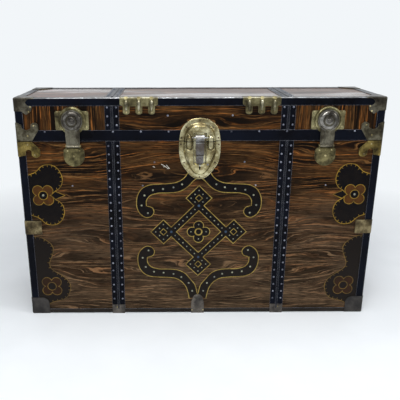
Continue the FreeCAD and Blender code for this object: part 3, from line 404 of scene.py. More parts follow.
def grained_board(name, way, outer, tones, upright=None, dark=1.0, gloss=None):
    """Printed wood: fine dark lines along the board, closing into long pointed figures, on brown.

    The way names the axes along the grain, across it and out of the board.  The height across
    the grain is pushed up and down by slow noise that is mirrored at the middle, so far that it
    folds back in places, and there the lines of equal height close round nested figures.  Noise
    that is stretched along the grain cuts it into broad and fine lines.  Past the bands of the
    lid the grain stands upright.  The brown turns paler and greyer towards the floor, where the
    lines are weaker, and outer, the middle and half the depth of the box, keeps the print to its
    outside."""
    light, tan, streak, black, faded = [linear(*tone) for tone in tones]
    made = Finish(name)
    place = made.axes()
    run, rise, out = [place["xyz".index(axis)] for axis in way]
    if upright:
        turned = made.maths("GREATER_THAN", made.maths("ABSOLUTE", run), upright)
        swap = made.node("ShaderNodeMix", {0: turned, 2: run, 3: made.add(rise, 0.7)}).outputs[0]
        rise = made.node("ShaderNodeMix", {0: turned, 2: rise, 3: made.times(run, 0.9)}).outputs[0]
        run = swap
    flat = made.joined(run, rise)
    matched = made.joined(made.maths("ABSOLUTE", run), rise)
    pushes = []
    for scales, detail, rough, where, reach in (((1.8, 13, 1), 0.4, 0.4, matched, 20 * MM),
                                                ((16, 40, 1), 3.0, 0.5, flat, 1.6 * MM),
                                                ((5, 27, 1), 0.3, 0.4, matched, 9.5 * MM)):
        push = made.streaks(scales, detail, rough, where)
        pushes.append(made.levels(push, 0.3, 0.7, -reach, reach))
    lift = made.add(made.add(pushes[0], pushes[1]), pushes[2])
    if upright:
        lift = made.times(lift, made.levels(turned, 0.0, 1.0, 1.0, 0.25))
    lanes = made.joined(run, made.add(rise, lift))
    broad = made.streaks((4.5, 230, 1), 2.0, 0.6, lanes)
    fine = made.streaks((11, 400, 1), 3.0, 0.7, lanes)
    glow = made.streaks((7, 210, 3), 2.0, 0.6, lanes)
    pores = made.streaks((40, 560, 1), 2.0, 0.6, flat)
    patch = made.streaks((3.5, 6, 1), 3.0, 0.5, flat)
    ground = made.mix(made.levels(patch, 0.36, 0.66), light, tan)
    ground = made.mix(made.levels(glow, 0.5, 0.62, 0.0, 0.85), ground, streak)
    low = made.levels(made.add(place[2], made.levels(patch, 0.3, 0.7, -0.08, 0.08)), 0.42, 0.1)
    ground = made.mix(made.times(low, 0.75), ground, faded)
    strength = made.levels(made.streaks((5, 24, 1), 2.0, place=flat), 0.34, 0.56, 0.6 * dark, dark)
    strength = made.times(strength, made.levels(low, 0.0, 1.0, 1.0, 0.85))
    lines = made.maths("MAXIMUM", made.levels(broad, 0.44, 0.49, 0.0, 0.98),
                       made.levels(fine, 0.475, 0.52, 0.0, 0.92))
    wood = made.mix(made.times(lines, strength), ground, black)
    wood = made.mix(made.levels(pores, 0.48, 0.62, 0.0, 0.7 * dark), wood, black)
    centre, depth = outer
    printed = made.levels(made.away(out, centre), depth - 0.8 * MM, depth - 0.5 * MM)
    rings = made.streaks((5, 70, 1), 3.0, 0.5, flat)
    plain = made.mix(made.levels(rings, 0.35, 0.65), linear(172, 138, 96), linear(138, 104, 68))
    made.set(Base_Color=made.mix(printed, plain, wood), Roughness=made.levels(broad, 0.3, 0.7, 0.3, 0.46),
             Specular_IOR_Level=0.05)
    if gloss:
        glare = made.streaks((1.8, 5, 1), 3.0, 0.6, flat)
        made.set(Coat_Weight=made.levels(glare, 0.49, 0.61, *gloss), Coat_Roughness=0.14)
    made.bump(fine, 0.12)
    return made


def bare_wood(name):
    """Plain softwood of the inside: pale, with long soft rings."""
    made = Finish(name)
    rings = made.streaks((6, 60, 60), 4.0, distortion=0.6)
    pores = made.streaks((30, 700, 700), 2.0)
    tone = made.ramp(rings, [(0.3, linear(128, 96, 62)), (0.55, linear(166, 130, 88)),
                             (0.75, linear(146, 110, 72))])
    tone = made.mix(made.levels(pores, 0.6, 0.8, 0.0, 0.3), tone, linear(90, 64, 40))
    made.set(Base_Color=tone, Roughness=0.7)
    made.bump(rings, 0.15)
    return made


def enamel(name, tones):
    """Black paint on sheet metal: slightly uneven, rubbed to grey along its edges, glossy on top.

    The grey along the edges is partly wear and partly a painted highlight, and the black enamel's
    second tone lays bluish patches of painted sheen.
    """
    made = Finish(name)
    cloud = made.noise(11.0, 4.0)
    rub = made.streaks((90, 90, 60), 5.0, 0.7)
    # Two tones in patches; the black enamel's bluish second tone is painted sheen
    tone = made.mix(made.levels(cloud, 0.35, 0.65), *[linear(*tone) for tone in tones])
    tone = made.mix(made.levels(rub, 0.62, 0.74, 0.0, 0.4), tone, linear(50, 46, 44))
    # Edges rubbed to grey: wear, and a painted highlight along them
    worn = made.times(made.edges(1.6 * MM, 0.85), made.levels(rub, 0.35, 0.6, 0.3, 1.0))
    upward = made.axes(made.node("ShaderNodeNewGeometry").outputs["Normal"])[2]
    made.set(Base_Color=made.mix(worn, tone, linear(118, 120, 128)),
             Roughness=made.levels(cloud, 0.3, 0.7, 0.24, 0.4),
             Specular_IOR_Level=made.levels(upward, 0.9, 0.97, 0.05, 0.5))
    made.bump(made.noise(160.0, 2.0), 0.1)
    return made


def plated(name, tones, metal=0.9, rough=(0.2, 0.4), dirt_and_shade=0.85, gap_shadows=()):
    """Old plating: bright metal clouded by tarnish, polished along its edges, with dark specks.

    Hollows and the feet of raised parts are darkened, partly grime and partly painted shade, and
    the polish along the edges is partly a painted highlight.  At each of the gap shadows, a height
    at which one part ends above another, a dark line is painted as the shade in the gap."""
    bright, dull, deep = [linear(*tone) for tone in tones]
    made = Finish(name)
    cloud = made.noise(34.0, 5.0, 0.6)
    speck = made.noise(300.0, 3.0, 0.6)
    scratch = made.streaks((900, 900, 70), 2.0, turn=(0.2, 0.5, 0.1))
    tone = made.ramp(cloud, [(0.34, deep), (0.47, dull), (0.62, bright)])
    tone = made.mix(made.levels(speck, 0.58, 0.72, 0.0, 0.6), tone, deep)
    # Painted shade and grime: hollows and the feet of raised parts darkened
    tone = made.mix(made.hollow_dirt_and_shade(7 * MM, dirt_and_shade), tone, linear(30, 25, 18))
    # Edges brightened: polish, and a painted highlight along them
    tone = made.mix(made.edges(0.9 * MM, 0.8), tone, bright)
    # Painted shadow: a dark line at each gap height
    for gap in gap_shadows:
        away = made.away(made.axes()[2], gap)
        tone = made.mix(made.levels(away, 1.4 * MM, 0.6 * MM), tone, linear(14, 11, 9))
    made.set(Base_Color=tone, Metallic=metal,
             Roughness=made.add(made.levels(cloud, 0.3, 0.7, rough[1], rough[0]),
                                made.levels(scratch, 0.4, 0.7, 0.0, 0.08)))
    made.bump(made.add(speck, made.times(scratch, 0.5)), 0.18)
    return made


def hasp_metal(name):
    """The hasp's steel: bright on the barrel, brown below it, with a painted shadow line under each part."""
    # The two gap shadows paint the shade under the barrel and under the leaf
    made = plated(name, ((222, 226, 230), (164, 162, 158), (96, 90, 82)), rough=(0.16, 0.34),
                  gap_shadows=(PARTING - 1.2 * MM, PARTING - 34 * MM))
    bare = made.shader.inputs["Base Color"].links[0].from_socket
    leaf = made.levels(made.axes()[2], PARTING - 3.5 * MM, PARTING - 4.5 * MM)
    made.set(Base_Color=made.mix(leaf, bare, made.mix(0.8, bare, linear(66, 55, 46))))
    return made


def paint(name, tones, rough=0.4, low=None):
    """Brush-laid paint, thinner in places, and turning to another colour towards the floor."""
    made = Finish(name)
    tone = made.mix(made.levels(made.noise(60.0, 5.0, 0.6), 0.35, 0.65), *[linear(*tone) for tone in tones])
    if low:
        tone = made.mix(made.levels(made.axes()[2], 0.34, 0.12, 0.0, 0.9), tone, linear(*low))
    worn = made.noise(330.0, 3.0, 0.65)
    made.set(Base_Color=made.mix(made.levels(worn, 0.60, 0.70, 0.0, 0.5), tone, linear(52, 36, 22)),
             Roughness=rough, Specular_IOR_Level=0.06)
    made.bump(worn, 0.1)
    return made


def leather(name):
    """Dark harness leather: pebbled grain from cells, rubbed lighter in broad patches."""
    made = Finish(name)
    cells = made.node("ShaderNodeTexVoronoi", {"Vector": made.place, "Scale": 700.0}).outputs["Distance"]
    cloud = made.noise(30.0, 4.0)
    tone = made.mix(made.levels(cloud, 0.35, 0.65), linear(48, 28, 18), linear(76, 46, 28))
    made.set(Base_Color=made.mix(made.levels(cells, 0.0, 0.7, 0.35, 0.0), tone, linear(30, 19, 13)),
             Roughness=made.levels(cloud, 0.3, 0.7, 0.42, 0.6), Specular_IOR_Level=0.2)
    made.bump(cells, 0.35, 0.3 * MM)
    return made


# Wood tones: light, tan, streak, black and faded.  Plating: bright, dull and deep.  Paint: two tones.
BOX_DEPTH = (0.5 * (FRONT + BACK), 0.5 * (BACK - FRONT))
BROWN = ((82, 54, 28), (118, 83, 46), (150, 92, 42), (8, 5, 3), (116, 96, 74))
POLISHED = ((122, 80, 48), (140, 102, 66), (134, 70, 36), (30, 20, 14), (104, 84, 60))
LOOKS = {
    "front_wood": (grained_board, dict(way="xzy", outer=BOX_DEPTH, tones=BROWN)),
    "lid_wood": (grained_board, dict(way="xzy", outer=BOX_DEPTH, tones=BROWN, upright=BAND)),
    "end_wood": (grained_board, dict(way="yzx", outer=(0, SIDE), tones=BROWN)),
    "top_wood": (grained_board, dict(way="xyz", outer=(0, TOP), tones=POLISHED, dark=0.8, gloss=(0.35, 1.0))),
    "bare_wood": (bare_wood, {}),
    # The second, bluish tone is painted sheen
    "black_enamel": (enamel, dict(tones=((6, 6, 9), (10, 14, 24)))),
    "worn_enamel": (enamel, dict(tones=((30, 27, 24), (48, 44, 40)))),
    # The lock plates and the clamps get a painted shadow line at the lid's mouth, where lid and case parts
    # meet
    "bright_brass": (plated, dict(tones=((222, 215, 176), (152, 141, 102), (94, 80, 50)),
                                  rough=(0.12, 0.26), dirt_and_shade=0.7, gap_shadows=(PARTING,))),
    "clamp_brass": (plated, dict(tones=((158, 138, 78), (98, 84, 44), (44, 37, 22)), gap_shadows=(PARTING,))),
    "clamp_pewter": (plated, dict(tones=((126, 121, 102), (76, 70, 54), (36, 32, 26)), gap_shadows=(PARTING,))),
    "bracket_brass": (plated, dict(tones=((130, 117, 86), (84, 73, 51), (42, 36, 26)))),
    "shield_brass": (plated, dict(tones=((126, 117, 80), (76, 70, 46), (38, 33, 23)))),
    "strike_brass": (plated, dict(tones=((160, 152, 112), (104, 96, 66), (50, 45, 33)))),
    "pewter": (plated, dict(tones=((118, 113, 97), (70, 65, 54), (34, 31, 26)))),
    "latch_nickel": (plated, dict(tones=((150, 147, 141), (86, 82, 76), (38, 35, 32)), rough=(0.16, 0.32))),
    # A paler pewter for the clamp ribs: painted highlight
    "pale_pewter": (plated, dict(tones=((206, 200, 174), (130, 124, 100), (62, 56, 42)), rough=(0.16, 0.34))),
    "bright_steel": (plated, dict(tones=((214, 216, 218), (150, 150, 150), (90, 88, 86)),
                                  rough=(0.16, 0.32))),
    "hasp_steel": (hasp_metal, {}),
    "worn_steel": (plated, dict(tones=((54, 50, 47), (36, 33, 31), (22, 20, 19)), metal=0.35,
                                rough=(0.45, 0.65))),
    "rubbed_steel": (plated, dict(tones=((104, 97, 88), (72, 67, 61), (38, 34, 31)), metal=0.35,
                                  rough=(0.4, 0.6))),
    "nail_steel": (plated, dict(tones=((146, 150, 162), (104, 107, 120), (56, 57, 66)), metal=0.6,
                                rough=(0.3, 0.5))),
    "brass_nail": (plated, dict(tones=((190, 178, 134), (120, 108, 72), (54, 46, 32)), metal=0.7,
                                rough=(0.3, 0.5))),
    "iron_nail": (plated, dict(tones=((118, 104, 82), (76, 64, 48), (36, 30, 22)), metal=0.7,
                               rough=(0.35, 0.5))),
    "painted_black": (paint, dict(tones=((7, 6, 8), (15, 12, 11)), rough=0.45, low=(29, 25, 22))),
    "painted_gold": (paint, dict(tones=((148, 118, 44), (98, 78, 34)))),
    "painted_pale_gold": (paint, dict(tones=((156, 136, 72), (112, 92, 44)))),
    "painted_dull_gold": (paint, dict(tones=((116, 92, 46), (76, 61, 36)), rough=0.5)),
    "painted_blue": (paint, dict(tones=((66, 84, 104), (44, 56, 74)))),
    "painted_amber": (paint, dict(tones=((78, 48, 18), (60, 38, 18)))),
    "painted_umber": (paint, dict(tones=((50, 32, 20), (40, 28, 20)))),
    "painted_dot": (paint, dict(tones=((150, 150, 128), (104, 106, 100)))),
    "bare_scratch": (paint, dict(tones=((222, 220, 212), (176, 170, 158)), rough=0.6)),
    # Painted shade for the keyhole
    "keyhole_dark": (paint, dict(tones=((10, 9, 8), (16, 14, 12)), rough=0.6)),
    "leather": (leather, {}),
    "thread": (paint, dict(tones=((150, 128, 92), (120, 98, 66)), rough=0.8)),
}
FINISHES = {}


def finish(look):
    """Each finish is made once and then shared."""
    if look not in FINISHES:
        maker, options = LOOKS[look]
        FINISHES[look] = maker(look, **options).material
    return FINISHES[look]


def dress(look, *names):
    """Gives CAD nodes a finish."""
    for name in names:
        slots = nodes[name].data.materials
        slots.clear()
        slots.append(finish(look))


# Settings

class TrunkNails(bpy.types.PropertyGroup):
    pitch: bpy.props.FloatProperty(name="Nail pitch", description="Distance between the nails of a band",
                                   default=0.0212, subtype="DISTANCE", unit="LENGTH")
    radius: bpy.props.FloatProperty(name="Nail head radius", description="Radius of a band nail's head",
                                    default=0.0025, subtype="DISTANCE", unit="LENGTH")
    column: bpy.props.FloatProperty(name="Column offset", description="Nail column from its band's middle",
                                    default=0.0112, subtype="DISTANCE", unit="LENGTH")


class TrunkOrnament(bpy.types.PropertyGroup):
    middle: bpy.props.FloatProperty(name="Middle height", description="Height of the lattice's centre",
                                    default=LATTICE_HEIGHT * MM, subtype="DISTANCE", unit="LENGTH")
    line: bpy.props.FloatProperty(name="Gold line width", description="Width of the painted gold lines",
                                  default=1.8 * MM, subtype="DISTANCE", unit="LENGTH")
    step: bpy.props.FloatProperty(name="Lattice step", description="Distance between the lattice's dots",
                                  default=72 / 7 * MM, subtype="DISTANCE", unit="LENGTH")


class TrunkStage(bpy.types.PropertyGroup):
    camera_place: bpy.props.FloatVectorProperty(name="Camera place", description="Where the camera stands",
                                                default=(-0.0783, -1.5145, 0.7441), subtype="TRANSLATION",
                                                unit="LENGTH")
    backdrop: bpy.props.FloatVectorProperty(name="Backdrop colour", description="Colour behind the trunk",
                                            default=linear(242, 246, 249)[:3], subtype="COLOR")
    ceiling: bpy.props.FloatVectorProperty(name="Ceiling colour", description="Colour of the light overhead",
                                           default=(0.14, 0.145, 0.16), subtype="COLOR")


# Boards and fittings

class TRUNK_OT_boards(bpy.types.Operator):
    """Prints dark grain on the boards and leaves the bottom and the rim strips bare"""
    bl_idname = "trunk.boards"
    bl_label = "Boards"

    def execute(self, context):
        dress("front_wood", "case_front_board", "case_back_board")
        dress("lid_wood", "lid_front_board", "lid_back_board")
        dress("end_wood", "case_left_end", "case_right_end", "lid_left_end", "lid_right_end")
        dress("top_wood", "lid_top_board")
        dress("bare_wood", "case_bottom_board", "case_rim")
        return {"FINISHED"}


class TRUNK_OT_fittings(bpy.types.Operator):
    """Enamels the bindings and plates the clamps, caps and brackets"""
    bl_idname = "trunk.fittings"
    bl_label = "Bindings and clamps"

    def execute(self, context):
        dress("black_enamel", *[name for name in nodes if "binding" in name or "band" in name])
        dress("black_enamel", "lid_valance", "hinge_case_leaves", "hinge_lid_leaves",
              "handle_loops_left", "handle_loops_right")
        dress("worn_enamel", "case_bottom_binding")
        dress("bright_brass", "lock_upper_plate", "lock_lower_plate")
        dress("clamp_brass", "case_clamps")
        dress("clamp_pewter", "lid_clamps")
        dress("shield_brass", "latch_keepers")
        dress("strike_brass", "edge_clamps", "latch_strikes")
        dress("bracket_brass", "mid_brackets")
        dress("pewter", "lid_caps", "latch_lever_left", "latch_lever_right")
        dress("bright_steel", "hasp_pin")
        dress("hasp_steel", "lock_hasp")
        dress("worn_steel", "bottom_caps")
        dress("rubbed_steel", "bottom_bell_clamp", "foot_clamps")
        return {"FINISHED"}


class TRUNK_OT_nails(bpy.types.Operator):
    """Sets the rows of nails on the bands and the valance, and the loose nails between"""
    bl_idname = "trunk.nails"
    bl_label = "Nails"

    def execute(self, context):
        sizes = context.scene.trunk_nails
        columns = [side * BAND + way * sizes.column for side in (-1, 1) for way in (-1, 1)]
        case_rows = 44 * MM + sizes.pitch * np.arange(21)
        lid_rows = np.array([520, 541.5, 563]) * MM
        top_rows = np.linspace(30 * MM, BACK - FRONT - 30 * MM, 9)
        band_head = head(1.3 * MM, 0.4 * MM, 1.2 * MM)

        def rows_of_nails(face, rows):
            return knobs(face, np.stack(np.meshgrid(columns, rows), axis=-1), sizes.radius, band_head)

        put("case_band_nails", [rows_of_nails(front, case_rows), rows_of_nails(back, case_rows)],
            "case", "nail_steel")
        put("lid_band_nails", [rows_of_nails(front, lid_rows), rows_of_nails(back, lid_rows),
                               rows_of_nails(over, top_rows)], "lid", "nail_steel")
        skirt = head(1.2 * MM, 0.4 * MM, 1.5 * MM)
        loose = head(1.4 * MM, 0.1 * MM)
        skirt_spots = [(side * x * MM, 504 * MM) for x in (78, 147, 216, 385) for side in (-1, 1)]
        end_spots = [(y * MM, 504 * MM) for y in (-80, -25, 30, 85)]
        lid_loose = [(side * 80 * MM, 543 * MM) for side in (-1, 1)]
        put("valance_nails", [knobs(front, skirt_spots, 2.4 * MM, skirt),
                              knobs(left, end_spots, 2.4 * MM, skirt),
                              knobs(right, end_spots, 2.4 * MM, skirt),
                              knobs(front, lid_loose, 2.5 * MM, loose)], "lid", "nail_steel")
        case_spots = ((114, 426), (145, 365), (325, 365))
        case_loose = [on_side(spot, side) for side in (-1, 1) for spot in case_spots]
        put("case_loose_nails", [knobs(front, case_loose, 2.3 * MM, loose)],
            "case", "nail_steel")
        return {"FINISHED"}


# Painted ornament

def paint_on(name, grids, look, smooth=False):
    """A layer of paint on the front of the case."""
    put(name, grids, "case", look, smooth)


def turned_over(points):
    """Points mirrored at the height of the lattice's centre, which turns an upper curl into a lower one."""
    return [(x, 2 * LATTICE_HEIGHT - z) for x, z in points]


CURL_OUTER = [(-60, 373), (-80, 370), (-110, 368.5), (-130, 366), (-147, 357), (-157, 343), (-162, 320),
              (-160, 302), (-150, 286), (-136, 278.5), (-123, 283), (-117, 294), (-121, 305), (-134, 310)]
CURL_INNER = [(-60, 347), (-80, 345.5), (-110, 344), (-128, 337), (-136, 325), (-136.5, 310)]
CURL_DOTS = [(-66, 360), (-93, 356), (-119, 353), (-141, 339), (-149, 312), (-133, 291)]
CURL_BALL = [(-134, 294.5)]
# Each ribbon's outer line, inner line and the middle of the ball at its end
RIBBONS = (([(-18, 408), (-28, 400), (-35, 389), (-45, 380)] + CURL_OUTER,
            [(-2, 386), (-14, 378), (-25, 366), (-40, 354)] + CURL_INNER, CURL_BALL),
           ([(-23, 43), (-26, 60), (-33, 80), (-45, 95)] + turned_over(CURL_OUTER),
            [(-0.5, 56), (-2, 62), (-8, 85), (-20, 101), (-38, 121)] + turned_over(CURL_INNER),
            turned_over(CURL_BALL)))
RIBBON_DOTS = [(-44, 368)] + CURL_DOTS + [(-15, 66), (-25, 90), (-45, 108)] + turned_over(CURL_DOTS)
# How many points of the outer line come before it turns in round the ball
BEFORE_BALL = 13


class TRUNK_OT_ribbons(bpy.types.Operator):
    """Paints the four curled ribbons, black with gold edges and a row of dots"""
    bl_idname = "trunk.ribbons"
    bl_label = "Curled ribbons"

    def execute(self, context):
        width = context.scene.trunk_ornament.line
        fills = []
        lines = []
        for outer, inner, ball in RIBBONS:
            for side in (1, -1):
                edge = smooth_line(on_side(outer[:BEFORE_BALL], side), 90)
                inner_edge = smooth_line(on_side(inner, side), 90)
                hub = on_side(ball, side)
                fills.append(lane(front, edge, inner_edge, FILL, SUNK))
                fills.append(lens(front, hub + circle_line(16 * MM), hub[0], flat_steps(LAPPED)))
                lines.append(piping(front, smooth_line(on_side(outer, side), 130), width, LINE))
                lines.append(piping(front, inner_edge, width, LINE))
        paint_on("ribbon_fill", fills, "painted_black")
        paint_on("ribbon_lines", lines, "painted_pale_gold")
        dots = np.concatenate([on_side(RIBBON_DOTS, side) for side in (1, -1)])
        bead = head(0.5 * MM, 0.3 * MM, FILL)
        paint_on("ribbon_dots", [knobs(front, dots, 2.5 * MM, bead)], "painted_dot", smooth=True)
        return {"FINISHED"}


class TRUNK_OT_lattice(bpy.types.Operator):
    """Paints the big diamond with its four end diamonds and the four-lobed rosette inside"""
    bl_idname = "trunk.lattice"
    bl_label = "Diamond lattice"

    def execute(self, context):
        ornament = context.scene.trunk_ornament
        step = ornament.step
        width = ornament.line
        middle = np.array([0, ornament.middle])
        around = np.array([(0, 1), (1, 0), (0, -1), (-1, 0)], float)
        far = 7 * step
        bar = 13.3 * MM
        end = 9 * step
        half = 33.5 * MM
        notch = ((far + bar) + (end - half)) / 2
        quarter = np.array([(0, end + half), (half, end), (far + bar - notch, notch),
                            (notch, far + bar - notch), (end, half)])
        outline = np.concatenate([quarter @ np.array([(way[1], -way[0]), way]) for way in around])
        reach = np.array([far - bar, far - bar, far + bar, far + bar, far - bar])
        rows = reach[:, None, None] * around + middle
        height = np.array([SUNK, FILL, FILL, SUNK, SUNK])[:, None]
        rosette = petals(4, 17 * MM, 13 * MM, 0) + middle
        fills = [(front(rows[..., 0], rows[..., 1], height), True),
                 lens(front, rosette, middle, flat_steps(FILL))]
        lines = [piping(front, dense(outline, 3 * MM) + middle, width, LINE, closed=True),
                 piping(front, dense((far - bar) * around, 3 * MM) + middle, width, LINE, closed=True),
                 piping(front, rosette, width, LINE, closed=True),
                 piping(front, circle_line(8.8 * MM) + middle, 3.4 * MM, OVER, closed=True)]
        dots = []
        for way in around:
            cross = np.array([way[1], -way[0]])
            hub = middle + end * way
            fills.append(lens(front, half * around + hub, hub, flat_steps(LAPPED)))
            small = dense(np.array([way, cross, -way, -cross]) * 9 * MM, 2 * MM) + hub
            lines.append(piping(front, small, width * 0.8, LINE, closed=True))
            for along, aside in ((2, 0), (1, 1), (0, 2), (-1, 1), (0, -2), (-1, -1), (1, -1)):
                dots.append(hub + step * (along * way + aside * cross))
            for count in range(1, 7):
                dots.append(middle + step * ((7 - count) * way + count * cross))
            dots.append(middle + 20 * MM * way)
        paint_on("lattice_fill", fills, "painted_black")
        paint_on("lattice_lines", lines, "painted_pale_gold")
        bead = head(0.4 * MM, 0.3 * MM, FILL)
        paint_on("lattice_dots", [knobs(front, dots, 1.7 * MM, bead)], "painted_dot", smooth=True)
        blue = knobs(front, middle + far * around, 3.4 * MM, head(0.5 * MM, 0.3 * MM, FILL))
        paint_on("lattice_blue_dots", [blue], "painted_blue", smooth=True)
        return {"FINISHED"}


UPPER_FLARE = [(-439, 393), (-430, 396), (-418, 401), (-408, 410), (-400, 417), (-388, 420.5), (-375, 419.5),
               (-362, 412), (-354, 400), (-350, 385), (-353, 368), (-360, 358), (-370, 352)]
FLARE_POINT = [(-346, FLARE_HEIGHT)]
LOZENGE = [(-371, 351), (-346, FLARE_HEIGHT), (-371, 329), (-382, FLARE_HEIGHT)]
LOWER_FLARE = [(-439, 228), (-420, 225), (-405, 217), (-393, 207), (-387, 195), (-388, 182), (-394, 165),
               (-399, 152), (-398, 138), (-388, 127), (-373, 117), (-360, 107), (-351, 95), (-347, 82),
               (-350, 65), (-358, 50), (-370, 42), (-385, 38), (-400, 33), (-415, 25), (-439, 16)]
SCRATCHES = [[(-97, 421), (-90, 417.5), (-84, 412)], [(-92, 414), (-86, 415), (-79, 408.5)],
             [(-84, 419), (-76, 409)], [(-118, 415), (-113, 413)]]


class TRUNK_OT_flares(bpy.types.Operator):
    """Paints the lobed black shapes at both sides with their flowers, and scratches the board"""
    bl_idname = "trunk.flares"
    bl_label = "Side flares"

    def execute(self, context):
        width = context.scene.trunk_ornament.line
        fills = []
        fresh = {"lines": [], "petals": []}
        dull = {"lines": [], "petals": []}
        dots = []
        under = (np.array(UPPER_FLARE) * (1, -1) + (0, 2 * FLARE_HEIGHT))[::-1]
        upper_shape = np.concatenate([UPPER_FLARE, FLARE_POINT, under])
        for side in (1, -1):
            for shape, hub in ((upper_shape, (-439.5, FLARE_HEIGHT)), (LOWER_FLARE, (-439.5, 120))):
                hub = on_side(hub, side)
                closed = np.concatenate([smooth_line(on_side(shape, side), 150), hub[None]])
                fills.append(lens(front, closed, hub, flat_steps(FILL)))
            top = smooth_line(on_side(UPPER_FLARE, side), 70)
            below = top * (1, -1) + (0, 2 * FLARE_HEIGHT * MM)
            foot = smooth_line(on_side(LOWER_FLARE, side), 120)
            lozenge = dense(on_side(LOZENGE, side), 2 * MM)
            fresh["lines"] += [piping(front, top, width, LINE), piping(front, below, width, LINE),
                               piping(front, lozenge, width * 0.8, OVER, closed=True)]
            dull["lines"].append(piping(front, foot, width * 0.8, LINE))
            for curve, kept in ((top[::-1], fresh), (below, fresh), (foot[::-1], dull)):
                kept["lines"].append(ticks(front, curve, 13 * MM, side * 1.2 * MM, side * 4.5 * MM,
                                           1.3 * MM, LINE))
            for centre, kept in (((-402, FLARE_HEIGHT), fresh), ((-398, 82), dull)):
                hub = on_side(centre, side)
                flower = petals(4, 17.7 * MM, 13.5 * MM, np.pi / 4) + hub
                kept["petals"].append(lens(front, flower, hub, flat_steps(LINE)))
                kept["lines"].append(piping(front, flower, width * 0.9, OVER, closed=True))
                kept["lines"].append(piping(front, hub + circle_line(11.5 * MM), width, OVER + 0.1 * MM,
                                            closed=True))
                fills.append(lens(front, hub + circle_line(12 * MM), hub, flat_steps(OVER)))
            dots.append(on_side((-402, FLARE_HEIGHT), side))
        scratches = [piping(front, on_side(line, 1), 1.4 * MM, 0.1 * MM) for line in SCRATCHES]
        paint_on("scratches", scratches, "bare_scratch")
        paint_on("flare_fill", fills, "painted_black")
        paint_on("flare_petals", fresh["petals"], "painted_amber")
        paint_on("flare_dull_petals", dull["petals"], "painted_umber")
        paint_on("flare_lines", fresh["lines"], "painted_gold")
        paint_on("flare_dull_lines", dull["lines"], "painted_dull_gold")
        bead = head(0.5 * MM, 0.3 * MM, OVER)
        paint_on("flare_dots", [knobs(front, dots, 3.0 * MM, bead)], "painted_dot", smooth=True)
        return {"FINISHED"}


# Lock

LOCK_RIM = [(0, 57), (16, 55), (32, 47), (44, 33), (50.5, 10), (52, -14), (50.5, -38), (46, -56), (33, -76),
            (22, -89), (11, -96), (0, -98)]
FLANGE = 2.7
FLANGE_WIDTH = 11


def step_up(value, low, high):
    """A smooth rise from 0 to 1 between two values."""
    share = np.clip((value - low) / (high - low), 0, 1)
    return share * share * (3 - 2 * share)


def hill(value, width):
    """A bell curve: 1 at 0, and nearly 0 at twice the width."""
    return np.exp(-(value / width)**2)


def lock_surface(across, up, bearing, inside):
    """Height in mm of the lock: a flat flange, a dome with wide lower flanks, two bosses, a channel.

    The dome stands on a step inside the flange and swells towards the middle; each boss is half
    an ellipse in section round a short upright line; the channel for the hasp is pushed back
    down to the flange."""
    lower_flank = hill(np.abs(bearing + np.pi / 2) - 0.62, 0.36)
    upper_flank = hill(bearing - np.pi / 2, 0.9)
    rise = 6.8 * step_up(inside, 0, 4 + 9.5 * lower_flank + 5 * upper_flank)
    swell = 3.5 * np.sin(np.pi / 2 * np.clip(inside / 34, 0, 1))
    fold = 1.4 * lower_flank * hill(inside - 4 - 9.5 * lower_flank, 1.6)
    bead = 0.9 * hill(inside + 9.6, 1.1)
    off_boss = np.hypot(np.abs(across) - 27, np.maximum(np.abs(up + 2) - 10.5, 0))
    boss = 4.9 * np.sqrt(np.clip(1 - (off_boss / 6.5)**2, 0, 1)) - 1.5 * hill(off_boss - 8.0, 1.1)
    channel = step_up(16.2 - np.abs(across), 0, 1.2) * step_up(22 - up, 0, 1.4) * step_up(up + 58, 0, 1.4)
    return FLANGE + (rise + swell + fold + bead + boss) * (1 - channel)


